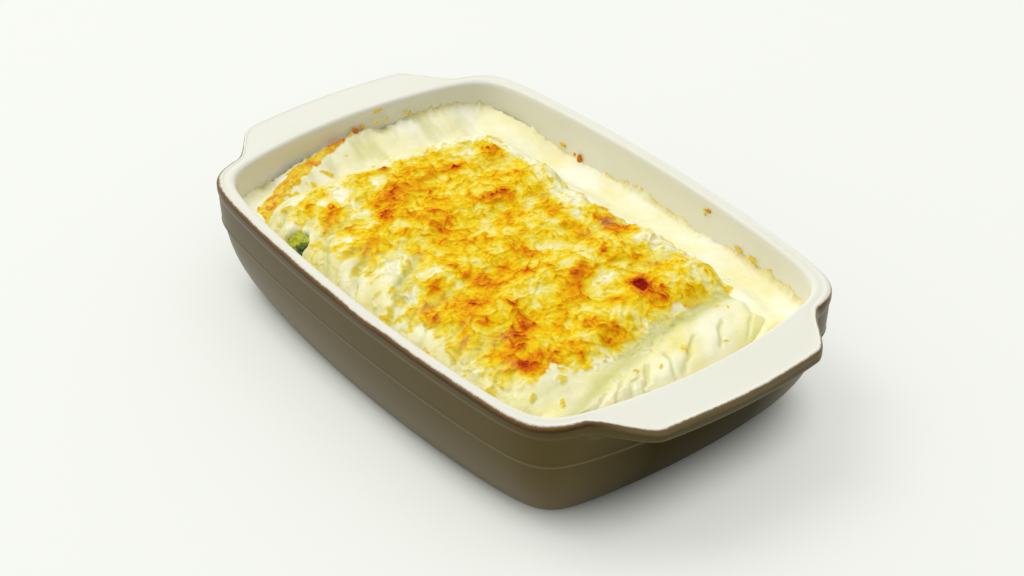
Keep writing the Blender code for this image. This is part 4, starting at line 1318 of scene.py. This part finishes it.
def creamy_group():
    """Bechamel colour, gloss and grain: pale, with warmer clouds, and gold in upright
    streaks where it dried."""
    tree, given, result = new_group(
        "creamy_sauce",
        (
            ("Place", "NodeSocketVector", None),
            ("Gold", "NodeSocketFloat", 0.0),
            ("Pale", "NodeSocketColor", None),
            ("Warm", "NodeSocketColor", None),
            ("Dried", "NodeSocketColor", None),
        ),
        (("Colour", "NodeSocketColor"), ("Gloss", "NodeSocketFloat"), ("Grain", "NodeSocketFloat")),
    )
    place = given.outputs["Place"]
    clouds = texture_noise(tree, place, 0.019, 4.0)
    clouds = spread(tree, clouds, 0.36, 0.68)
    colour = mix(tree, clouds, given.outputs["Pale"], given.outputs["Warm"])
    upright = node(tree, "ShaderNodeVectorMath", operation="MULTIPLY")
    link(tree, place, upright.inputs[0])
    upright.inputs[1].default_value = DRIED_STREAKS
    streaks = texture_noise(tree, upright.outputs[0], 0.0020, 4.0)
    streaks = spread(tree, streaks, 0.32, 0.68, 0.15, 1.45)
    gold = math_node(tree, "MULTIPLY", given.outputs["Gold"], streaks, clamp=True)
    colour = mix(tree, gold, colour, given.outputs["Dried"])
    link(tree, colour, result.inputs["Colour"])
    fine = texture_noise(tree, place, 0.0030, 3.0)
    link(tree, spread(tree, fine, 0.3, 0.7, 0.26, 0.44), result.inputs["Gloss"])
    link(tree, fine, result.inputs["Grain"])
    return tree


def glaze_group():
    """Clouds, fine pits and specks that both glazes share."""
    tree, given, result = new_group(
        "kiln_finish",
        (("Place", "NodeSocketVector", None),),
        (("Cloud", "NodeSocketFloat"), ("Pits", "NodeSocketFloat"), ("Speck", "NodeSocketFloat")),
    )
    place = given.outputs["Place"]
    link(tree, texture_noise(tree, place, 0.035, 3.0), result.inputs["Cloud"])
    pits = spread(tree, texture_noise(tree, place, 0.0012, 2.0), 0.62, 0.80)
    link(tree, pits, result.inputs["Pits"])
    specks = spread(tree, texture_noise(tree, place, 0.0018, 5.0, 0.7), 0.30, 0.70)
    link(tree, specks, result.inputs["Speck"])
    return tree


def group(name, maker):
    """A shader group, built the first time that it is asked for."""
    return bpy.data.node_groups.get(name) or maker()


# ---------------------------------------------------------------- materials
def new_material(name):
    """An empty Principled material, with its tree, shader and Object coordinates."""
    material = bpy.data.materials.new(name)
    material.use_nodes = True
    tree = material.node_tree
    shader = tree.nodes["Principled BSDF"]
    place = node(tree, "ShaderNodeTexCoord").outputs["Object"]
    return material, tree, shader, place


def attribute(tree, name):
    """The value that a piece's mesh holds under this name."""
    return node(tree, "ShaderNodeAttribute", attribute_name=name).outputs["Fac"]


def use_group(tree, group_tree, place, **inputs):
    """Place a shader group in a material; inputs are sockets or plain values."""
    made = node(tree, "ShaderNodeGroup", node_tree=group_tree)
    link(tree, place, made.inputs["Place"])
    for key, value in inputs.items():
        if isinstance(value, bpy.types.NodeSocket):
            link(tree, value, made.inputs[key])
        else:
            made.inputs[key].default_value = value
    return made.outputs


def bump(tree, height, distance, strength, shader):
    """A Bump node from height to the shader's normal."""
    made = node(tree, "ShaderNodeBump", inputs={"Strength": strength, "Distance": distance})
    link(tree, height, made.inputs["Height"])
    link(tree, made.outputs["Normal"], shader.inputs["Normal"])


# Glaze levels where the white ends, where the rust-brown line ends, and where that line
# turns from dark to light, each as a soft range
WHITE_ENDS = (-1.0, -0.2)
RUST_ENDS = (-3.6, -2.4)
RUST_SHADES = (-2.6, -0.9)
# Where a handle begins along X; below it the glaze gets a painted shade, and at the foot a painted
# contact shadow, given as ranges of distance along X and Y from the middle, and of height
HANDLE_BEGINS = (0.1150, 0.1270)
SHADE_ALONG = (0.0960, 0.1100)
SHADE_ACROSS = (0.026, 0.062)
SHADE_HEIGHT = (0.0300, 0.0440)
FOOT_SHADOW_HEIGHT = (0.0012, 0.0032)


def stoneware_material(look):
    """White glaze inside and over the rim, a rust-brown line where it thins at the rim's outer edge,
    satin taupe glaze outside with a pale line round it that is partly thin glaze at a step and partly
    a painted highlight, a painted shade under the handles and a painted contact shadow at the short
    sides' foot, with less gloss in both, and a bare ring under the base."""
    material, tree, shader, place = new_material("stoneware_glaze")
    kiln = use_group(tree, group("kiln_finish", glaze_group), place)
    level = attribute(tree, "glaze_level")
    x, y, height = coordinates(tree, place)

    # The glazes' border wanders, and lies lower on the +Y side and at the -X end
    wander = scaled(tree, kiln["Speck"], 0.44, -0.22)
    drift = scaled(tree, kiln["Cloud"], 2.4, -1.2)
    edge = math_node(tree, "ADD", math_node(tree, "ADD", level, wander), drift)
    lower_side = spread(tree, y, 0.050, 0.070, 0.0, 0.9)
    lower_end = spread(tree, x, -0.124, -0.116, 0.9, 0.0)
    edge = math_node(tree, "ADD", edge, math_node(tree, "MAXIMUM", lower_side, lower_end))
    is_white = spread(tree, edge, *WHITE_ENDS)

    white = mix(tree, kiln["Cloud"], (*look.white_glaze, 1), (*look.white_glaze_warm, 1))
    taupe = mix(tree, kiln["Cloud"], (*look.taupe_glaze, 1), (*look.taupe_glaze_warm, 1))
    rust_shade = spread(tree, edge, *RUST_SHADES)
    rust = mix(tree, rust_shade, (*look.rust_line, 1), (*look.rust_line_light, 1))
    out_along = math_node(tree, "ABSOLUTE", x)
    handle = spread(tree, out_along, *HANDLE_BEGINS, 0.0, 0.85)
    rust = mix(tree, handle, rust, (*look.handle_edge, 1))

    # Painted shade under the handles, fading upwards
    low_end = spread(tree, out_along, *SHADE_ALONG)
    out_across = math_node(tree, "ABSOLUTE", y)
    middle = spread(tree, out_across, *SHADE_ACROSS, 0.86, 0.0)
    under = math_node(tree, "MULTIPLY", low_end, middle)
    under = math_node(tree, "MULTIPLY", under, spread(tree, height, *SHADE_HEIGHT, 1.0, 0.35))
    taupe = mix(tree, under, taupe, (*look.painted_handle_shade, 1))
    # Painted contact shadow at the foot of the short sides
    foot = math_node(tree, "MULTIPLY", low_end, spread(tree, height, *FOOT_SHADOW_HEIGHT, 0.95, 0.0))
    taupe = mix(tree, foot, taupe, (*look.painted_foot_shadow, 1))

    below = mix(tree, spread(tree, edge, *RUST_ENDS), taupe, rust)
    colour = mix(tree, is_white, below, white)
    # The pale line round the outside: partly thin glaze at the step, partly a painted highlight
    off_line = math_node(tree, "SUBTRACT", height, BAND_HEIGHT + 0.0004)
    off_line = math_node(tree, "ABSOLUTE", off_line)
    on_line = spread(tree, off_line, 0.0002, 0.0011, 0.55, 0.0)
    outside = spread(tree, level, -8.0, -7.0, 1.0, 0.0)
    on_line = math_node(tree, "MULTIPLY", on_line, outside)
    colour = mix(tree, on_line, colour, (*look.thin_glaze_and_highlight, 1))
    glazed = spread(tree, level, FOOT_LEVEL + 5, RECESS_LEVEL - 5)
    colour = mix(tree, glazed, (*look.bare_clay, 1), colour)
    link(tree, colour, shader.inputs["Base Color"])

    rough = scaled(tree, is_white, -0.16, 0.36)
    rough = math_node(tree, "ADD", rough, math_node(tree, "MULTIPLY", kiln["Pits"], 0.08))
    link(tree, rough, shader.inputs["Roughness"])
    # Less gloss where the painted shade and the painted contact shadow lie
    dull = math_node(tree, "MULTIPLY", outside, math_node(tree, "MAXIMUM", under, foot))
    link(tree, spread(tree, dull, 0.0, 0.9, 0.20, 0.02), shader.inputs["Specular IOR Level"])
    link(tree, spread(tree, dull, 0.0, 0.6, 0.08, 0.0), shader.inputs["Coat Weight"])
    shader.inputs["Coat Roughness"].default_value = 0.14
    bump(tree, kiln["Cloud"], 0.0012, 0.18, shader)
    return material


def cream_and_crust(tree, place, pale, warm, dried, **gold):
    """The shader groups of bechamel, in these colours, and of the crust that lies on it."""
    colours = {"Pale": (*pale, 1), "Warm": (*warm, 1), "Dried": (*dried, 1)}
    cream = use_group(tree, group("creamy_sauce", creamy_group), place, **colours, **gold)
    browning = attribute(tree, "browning")
    toasted = use_group(tree, group("toasted_crust", toasted_group), place, Browning=browning)
    return cream, toasted


def let_light_in(shader, weight, radius, scale):
    """Let a share of the light sink in and spread, by a radius for red, green and blue."""
    shader.inputs["Subsurface Weight"].default_value = weight
    shader.inputs["Subsurface Radius"].default_value = radius
    shader.inputs["Subsurface Scale"].default_value = scale


def crust_material(look):
    """Bechamel under a browned crust: cream where the crust is absent, toasted where it lies, and a
    painted green shade in the creases."""
    material, tree, shader, place = new_material("browned_bechamel")
    cream, toasted = cream_and_crust(
        tree, place, look.fold_cream, look.fold_cream_warm, look.dried_sauce
    )
    cover = spread(tree, attribute(tree, "cover"), 0.12, 0.72)
    colour = mix(tree, cover, cream["Colour"], toasted["Colour"])
    # Painted shade in the creases
    crease = math_node(tree, "MULTIPLY", attribute(tree, "hollow"), 0.80)
    colour = mix(tree, crease, colour, (*look.painted_crease_shade, 1))
    link(tree, colour, shader.inputs["Base Color"])
    gloss = node(tree, "ShaderNodeMix", data_type="FLOAT")
    link(tree, cover, gloss.inputs[0])
    link(tree, cream["Gloss"], gloss.inputs[2])
    link(tree, toasted["Gloss"], gloss.inputs[3])
    link(tree, gloss.outputs[0], shader.inputs["Roughness"])
    let_light_in(shader, look.translucency, (1.0, 0.70, 0.25), 0.0014)
    link(tree, spread(tree, cover, 0.1, 0.9, 0.42, 0.05), shader.inputs["Specular IOR Level"])
    bump(tree, toasted["Grain"], 0.0004, 0.35, shader)
    return material


def sauce_material(look):
    """Smooth pale bechamel, gold where its thin edge dried on the wall, a painted green shade in the
    valleys of the streaks of its slopes, and toasted where the crust lies."""
    material, tree, shader, place = new_material("bechamel")
    gold = attribute(tree, "gold")
    cream, toasted = cream_and_crust(
        tree, place, look.sauce_pale, look.sauce_warm, look.dried_sauce, Gold=gold
    )
    # Painted shade in the valleys of the streaked slopes
    streaks = math_node(tree, "MULTIPLY", attribute(tree, "streaks"), 0.50)
    colour = mix(tree, streaks, cream["Colour"], (*look.painted_crease_shade, 1))
    cover = spread(tree, attribute(tree, "cover"), 0.12, 0.60)
    colour = mix(tree, cover, colour, toasted["Colour"])
    link(tree, colour, shader.inputs["Base Color"])
    link(tree, cream["Gloss"], shader.inputs["Roughness"])
    let_light_in(shader, look.translucency, (1.0, 0.88, 0.60), 0.0018)
    shader.inputs["Specular IOR Level"].default_value = 0.35
    bump(tree, cream["Grain"], 0.0006, 0.25, shader)
    return material


# The largest leaf in the spinach, a dark curl: its middle and half width along X and Y
DARK_CURL = ((-0.0520, 0.0034), (-0.0675, 0.0042))


def spinach_material(look):
    """Chopped spinach in cream: yellow-green, with dark bits of leaf and one dark curl."""
    material, tree, shader, place = new_material("chopped_spinach")
    bits = spread(tree, texture_noise(tree, place, 0.0030, 3.0, 0.6), 0.32, 0.44)
    clouds = spread(tree, texture_noise(tree, place, 0.0060, 2.0), 0.35, 0.65)
    base = mix(tree, clouds, (*look.spinach_light, 1), (*look.spinach_mid, 1))
    curl = []
    for place_on_axis, (middle, half) in zip(coordinates(tree, place), DARK_CURL):
        part = math_node(tree, "SUBTRACT", place_on_axis, middle)
        curl.append(math_node(tree, "POWER", math_node(tree, "DIVIDE", part, half), 2.0))
    curl = spread(tree, math_node(tree, "ADD", *curl), 0.55, 1.15)
    bits = math_node(tree, "MULTIPLY", bits, curl)
    colour = mix(tree, bits, (*look.spinach_dark, 1), base)
    link(tree, colour, shader.inputs["Base Color"])
    link(tree, spread(tree, bits, 0, 1, 0.28, 0.50), shader.inputs["Roughness"])
    bump(tree, bits, 0.0007, 0.5, shader)
    return material


# The floor's painted light, a glow that lightens the dish's cast shadow, starts outside a plan of
# this half size along X and Y, shifted by this much, and comes up between these two shares of it
PAINTED_LIGHT_HALVES = (0.121, 0.075)
PAINTED_LIGHT_SHIFTS = (0.005, 0.0)
PAINTED_LIGHT_RANGE = (0.88, 1.14)


def floor_material(look):
    """A matt white sweep with the faintest unevenness, and painted light: it glows a little, so that
    the dish's cast shadow on it is lighter. The glow starts a short way from the dish, nearer to it
    at the +X end, by a superellipse in plan."""
    material, tree, shader, place = new_material("pale_floor")
    clouds = texture_noise(tree, place, 0.35, 2.0)
    shade = spread(tree, clouds, 0.0, 1.0, 0.985, 1.0)
    reach = []
    for axis, half, shift in zip(coordinates(tree, place), PAINTED_LIGHT_HALVES, PAINTED_LIGHT_SHIFTS):
        part = math_node(tree, "ABSOLUTE", math_node(tree, "ADD", axis, shift))
        part = math_node(tree, "DIVIDE", part, half)
        reach.append(math_node(tree, "POWER", part, 4.0))
    reach = math_node(tree, "POWER", math_node(tree, "ADD", *reach), 0.25)
    painted_light = spread(tree, reach, *PAINTED_LIGHT_RANGE, 0.0, look.floor_painted_light)
    painted_light.node.interpolation_type = "SMOOTHSTEP"
    # Where the painted light glows, the floor's base colour is dimmed by as much
    matt = math_node(tree, "MULTIPLY", shade, math_node(tree, "SUBTRACT", 1.0, painted_light))
    colour = mix(tree, matt, (0, 0, 0, 1), (*look.floor, 1))
    link(tree, colour, shader.inputs["Base Color"])
    shader.inputs["Emission Color"].default_value = (*look.floor, 1)
    link(tree, painted_light, shader.inputs["Emission Strength"])
    shader.inputs["Roughness"].default_value = 0.65
    shader.inputs["Specular IOR Level"].default_value = 0.2
    return material


# ---------------------------------------------------------------- settings
def colour_property(name, description, code):
    """A colour setting whose default is written as six hex digits."""
    return FloatVectorProperty(
        name=name, description=description, subtype="COLOR", size=3, min=0, max=1,
        default=linear(code)[:3],
    )


def length_property(name, description, default):
    """A length setting in metres."""
    return FloatProperty(
        name=name, description=description, default=default, unit="LENGTH", subtype="DISTANCE",
        min=0.0, precision=5,
    )


class LookSettings(bpy.types.PropertyGroup):
    """Colours and finishes of the dish, the food and the stage."""

    white_glaze: colour_property("White glaze", "Glaze inside and over the rim", "ECEBE0")
    white_glaze_warm: colour_property("Warm white", "Clouds in the white glaze", "E6E4D3")
    taupe_glaze: colour_property("Taupe glaze", "Glaze outside", "57480F")
    taupe_glaze_warm: colour_property("Warm taupe", "Clouds in the outer glaze", "513E06")
    # Painted shade under the handles
    painted_handle_shade: colour_property("Shaded glaze", "Darker glaze under the handles", "2A2202")
    # Painted contact shadow at the foot of the short sides
    painted_foot_shadow: colour_property("Foot line", "Where the glaze gathers at the foot", "0C0A05")
    # Thin glaze at the fine line, with a painted highlight
    thin_glaze_and_highlight: colour_property("Pale line", "Fine line round the outside", "746A4C")
    rust_line: colour_property("Rust line", "Line where the white glaze thins", "3A2405")
    rust_line_light: colour_property("Light rust", "Its lighter upper part", "7C5A2C")
    handle_edge: colour_property("Handle edge", "The line where it runs round a handle", "766640")
    bare_clay: colour_property("Bare clay", "Unglazed ring under the foot", "B9A488")
    sauce_pale: colour_property("Pale sauce", "Bechamel", "FDFBE4")
    sauce_warm: colour_property("Warm sauce", "Yellower clouds in the bechamel", "F5EDB4")
    fold_cream: colour_property("Fold cream", "Bechamel on the folds", "F6F3D2")
    fold_cream_warm: colour_property("Warm fold cream", "Yellower bechamel there", "EFE592")
    dried_sauce: colour_property("Dried sauce", "Where a thin film dried", "DCC65A")
    # Painted shade, in the creases of the rolls and in the valleys of the sauce's streaked slopes
    painted_crease_shade: colour_property("Crease", "Shade in the creases", "CCC97A")
    spinach_light: colour_property("Light spinach", "Creamed spinach", "C9C81E")
    spinach_mid: colour_property("Spinach", "Chopped spinach", "9CA412")
    spinach_dark: colour_property("Dark spinach", "Leaf bits", "34500A")
    floor: colour_property("Floor", "Sweep under the dish", "F3F5EE")
    # Painted light: the floor's own glow, which lightens the dish's cast shadow
    floor_painted_light: FloatProperty(
        name="Floor glow", description="Share of the floor's brightness that is its own",
        default=0.55, min=0.0, max=0.9, subtype="FACTOR",
    )
    translucency: FloatProperty(
        name="Translucency", description="Share of light that sinks into the sauce",
        default=0.28, min=0.0, max=1.0, subtype="FACTOR",
    )


class DishSettings(bpy.types.PropertyGroup):
    """How finely the dish is made."""

    short_points: IntProperty(
        name="Points on a short side", description="Mesh points", default=130, min=20
    )
    long_points: IntProperty(
        name="Points on a long side", description="Mesh points", default=90, min=20
    )


class CrustSettings(bpy.types.PropertyGroup):
    """The browned crust over the rolls."""

    cell: length_property("Cell", "Step of the grid that the crust is worked out on", 0.0003)
    grid: length_property("Grid", "Step of the rolls' meshes", 0.00038)
    shreds: IntProperty(
        name="Shreds", description="Number of melted shreds", default=1900, min=0
    )
    roughness: FloatProperty(
        name="Roughness", description="Height of the crust's relief", default=1.0, min=0.0
    )
    grain: FloatProperty(
        name="Grain", description="How far the crust's texture is drawn out across the rolls",
        default=1.2, min=1.0,
    )


class FillingSettings(bpy.types.PropertyGroup):
    """The spinach filling that shows."""

    bulge: length_property("Bulge", "How far the filling bulges out", 0.0052)
    swell: length_property("Swell", "How far its near end swells upwards", 0.0034)


class SauceSettings(bpy.types.PropertyGroup):
    """The sauce round the rolls."""

    short_points: IntProperty(
        name="Points on a short side", description="Mesh points", default=320, min=20
    )
    long_points: IntProperty(
        name="Points on a long side", description="Mesh points", default=230, min=20
    )
    rings: IntProperty(
        name="Rings", description="Mesh rings from the wall to the rolls", default=67, min=10
    )
    fillet: length_property("Fillet", "How far the sauce is drawn up against the rolls", 0.0072)
    edge_gold: FloatProperty(
        name="Dried edge", description="How golden the film on the wall is", default=0.75,
        min=0.0, max=1.0, subtype="FACTOR",
    )


class StageSettings(bpy.types.PropertyGroup):
    """Camera and light."""

    azimuth: FloatProperty(
        name="Azimuth", description="Bearing of the camera from -Y towards +X",
        default=math.radians(51.87), subtype="ANGLE",
    )
    elevation: FloatProperty(
        name="Elevation", description="Height of the camera above the horizon",
        default=math.radians(34.435), subtype="ANGLE",
    )
    distance: length_property("Distance", "From the camera to the point it looks at", 0.8803)
    lens: FloatProperty(
        name="Lens", description="Focal length on a 36 mm wide sensor", default=73.87,
        unit="CAMERA", min=1.0,
    )
    sky: FloatProperty(
        name="Sky", description="Mean strength of the white surround", default=0.60, min=0.0
    )
    slant: FloatProperty(
        name="Slant", description="How much brighter the surround is towards -X than on average",
        default=0.55, min=0.0, max=1.0, subtype="FACTOR",
    )
    key: FloatProperty(
        name="Key", description="Power of the large soft light", default=44.0, min=0.0,
        unit="POWER",
    )
    fill: FloatProperty(
        name="Fill", description="Power of the light over the dish", default=12.0, min=0.0,
        unit="POWER",
    )


# ---------------------------------------------------------------- stage
FLOOR_RADIUS = 6.0
FLOOR_POINTS = 96
SURROUND_COLOUR = (0.985, 1.0, 0.985, 1.0)
KEY_PLACE = (-1.35, -0.70, 3.00)
FILL_PLACE = (0.10, 0.50, 2.60)
LIGHT_TARGET = (0.0, 0.0, 0.03)
LIGHT_SIZE = 1.80
CAMERA_TARGET = (-0.01437, 0.01112, 0.01051)
SENSOR_WIDTH = 36.0


def add_light(name, place, power):
    """A square white area light at place that faces the food."""
    data = bpy.data.lights.new(name, "AREA")
    data.size = LIGHT_SIZE
    data.energy = power
    light = bpy.data.objects.new(name, data)
    light.location = place
    to_food = Vector(LIGHT_TARGET) - Vector(place)
    light.rotation_euler = to_food.to_track_quat("-Z", "Y").to_euler()
    bpy.context.collection.objects.link(light)


def build_stage(stage, look):
    """A round white floor, a surround that is brighter towards -X, two soft lights and the
    camera."""
    turns = np.linspace(0, 2 * np.pi, FLOOR_POINTS, endpoint=False)
    rim = FLOOR_RADIUS * np.stack([np.cos(turns), np.sin(turns), 0 * turns], axis=1)
    mesh = bpy.data.meshes.new("floor")
    mesh.from_pydata(rim.tolist(), [], [list(range(FLOOR_POINTS))])
    mesh.materials.append(floor_material(look))
    floor = bpy.data.objects.new("floor", mesh)
    bpy.context.collection.objects.link(floor)

    world = bpy.data.worlds.new("soft_surround")
    world.use_nodes = True
    tree = world.node_tree
    background = tree.nodes["Background"]
    background.inputs["Color"].default_value = SURROUND_COLOUR
    direction = node(tree, "ShaderNodeTexCoord").outputs["Generated"]
    bright, dim = stage.sky * (1 + stage.slant), stage.sky * (1 - stage.slant)
    strength = spread(tree, coordinates(tree, direction)[0], -1.0, 1.0, bright, dim)
    link(tree, strength, background.inputs["Strength"])
    bpy.context.scene.world = world

    add_light("key", KEY_PLACE, stage.key)
    add_light("fill", FILL_PLACE, stage.fill)

    outwards = math.cos(stage.elevation)
    back_x = math.sin(stage.azimuth) * outwards
    back_y = -math.cos(stage.azimuth) * outwards
    back = Vector((back_x, back_y, math.sin(stage.elevation)))
    data = bpy.data.cameras.new("camera")
    data.sensor_width = SENSOR_WIDTH
    data.lens = stage.lens
    data.clip_start = 0.05
    data.clip_end = 30.0
    camera = bpy.data.objects.new("camera", data)
    camera.location = Vector(CAMERA_TARGET) + back * stage.distance
    camera.rotation_euler = (-back).to_track_quat("-Z", "Y").to_euler()
    bpy.context.collection.objects.link(camera)
    bpy.context.scene.camera = camera
    bpy.context.scene.view_settings.view_transform = "Standard"


# ---------------------------------------------------------------- operators
# The crust's sheets that were worked out, by the settings that they came from
SHEETS = {}


def shared_sheet(settings):
    """The crust's relief and browning, worked out once for each choice of settings."""
    key = (settings.cell, settings.shreds, settings.roughness, settings.grain)
    if key not in SHEETS:
        SHEETS[key] = crust_sheet(settings)
    return SHEETS[key]


def crust_look(look):
    """The crust's material, made once and shared by the pieces that it covers."""
    return bpy.data.materials.get("browned_bechamel") or crust_material(look)


class CANNELLONI_OT_dish(bpy.types.Operator):
    """Make the glazed dish over its solid"""

    bl_idname = "cannelloni.dish"
    bl_label = "Glazed dish"

    def execute(self, context):
        scene = context.scene
        build_dish(scene.cannelloni_dish, stoneware_material(scene.cannelloni_look))
        return {"FINISHED"}


class CANNELLONI_OT_sauce(bpy.types.Operator):
    """Make the bechamel with the browned crust on its bank"""

    bl_idname = "cannelloni.sauce"
    bl_label = "Bechamel"

    def execute(self, context):
        scene = context.scene
        sheet = shared_sheet(scene.cannelloni_crust)
        build_sauce(scene.cannelloni_sauce, sheet, sauce_material(scene.cannelloni_look))
        return {"FINISHED"}


class CANNELLONI_OT_rolls(bpy.types.Operator):
    """Make the six cannelloni under their crust"""

    bl_idname = "cannelloni.rolls"
    bl_label = "Cannelloni"

    def execute(self, context):
        scene = context.scene
        sheet = shared_sheet(scene.cannelloni_crust)
        material = crust_look(scene.cannelloni_look)
        for number in range(1, ROLL_COUNT + 1):
            build_roll(number, scene.cannelloni_crust, sheet, material)
        return {"FINISHED"}


class CANNELLONI_OT_filling(bpy.types.Operator):
    """Make the spinach filling that shows at an open end"""

    bl_idname = "cannelloni.filling"
    bl_label = "Spinach filling"

    def execute(self, context):
        scene = context.scene
        build_filling(scene.cannelloni_filling, spinach_material(scene.cannelloni_look))
        return {"FINISHED"}


class CANNELLONI_OT_crumbs(bpy.types.Operator):
    """Make the toasted crumbs stuck to the dish's wall"""

    bl_idname = "cannelloni.crumbs"
    bl_label = "Wall crumbs"

    def execute(self, context):
        build_crumbs(crust_look(context.scene.cannelloni_look))
        return {"FINISHED"}


class CANNELLONI_OT_stage(bpy.types.Operator):
    """Set the floor, the lights and the camera"""

    bl_idname = "cannelloni.stage"
    bl_label = "Stage"

    def execute(self, context):
        scene = context.scene
        build_stage(scene.cannelloni_stage, scene.cannelloni_look)
        return {"FINISHED"}


class CANNELLONI_PT_panel(bpy.types.Panel):
    """Lists the steps that dress the dish"""

    bl_label = "Baked Cannelloni"
    bl_idname = "CANNELLONI_PT_panel"
    bl_space_type = "VIEW_3D"
    bl_region_type = "UI"
    bl_category = "Cannelloni"

    def draw(self, context):
        for operator in OPERATORS:
            self.layout.operator(operator.bl_idname)


OPERATORS = (
    CANNELLONI_OT_dish,
    CANNELLONI_OT_sauce,
    CANNELLONI_OT_rolls,
    CANNELLONI_OT_filling,
    CANNELLONI_OT_crumbs,
    CANNELLONI_OT_stage,
)
SETTINGS = {
    "cannelloni_look": LookSettings,
    "cannelloni_dish": DishSettings,
    "cannelloni_crust": CrustSettings,
    "cannelloni_filling": FillingSettings,
    "cannelloni_sauce": SauceSettings,
    "cannelloni_stage": StageSettings,
}


def register():
    for kind in (*SETTINGS.values(), *OPERATORS, CANNELLONI_PT_panel):
        bpy.utils.register_class(kind)
    for name, kind in SETTINGS.items():
        setattr(bpy.types.Scene, name, PointerProperty(type=kind))


def unregister():
    for name in SETTINGS:
        delattr(bpy.types.Scene, name)
    for kind in reversed((*SETTINGS.values(), *OPERATORS, CANNELLONI_PT_panel)):
        bpy.utils.unregister_class(kind)


def main():
    """Register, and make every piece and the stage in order."""
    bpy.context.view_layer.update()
    register()
    bpy.ops.cannelloni.dish()
    bpy.ops.cannelloni.sauce()
    bpy.ops.cannelloni.rolls()
    bpy.ops.cannelloni.filling()
    bpy.ops.cannelloni.crumbs()
    bpy.ops.cannelloni.stage()


if __name__ == "__main__":
    main()
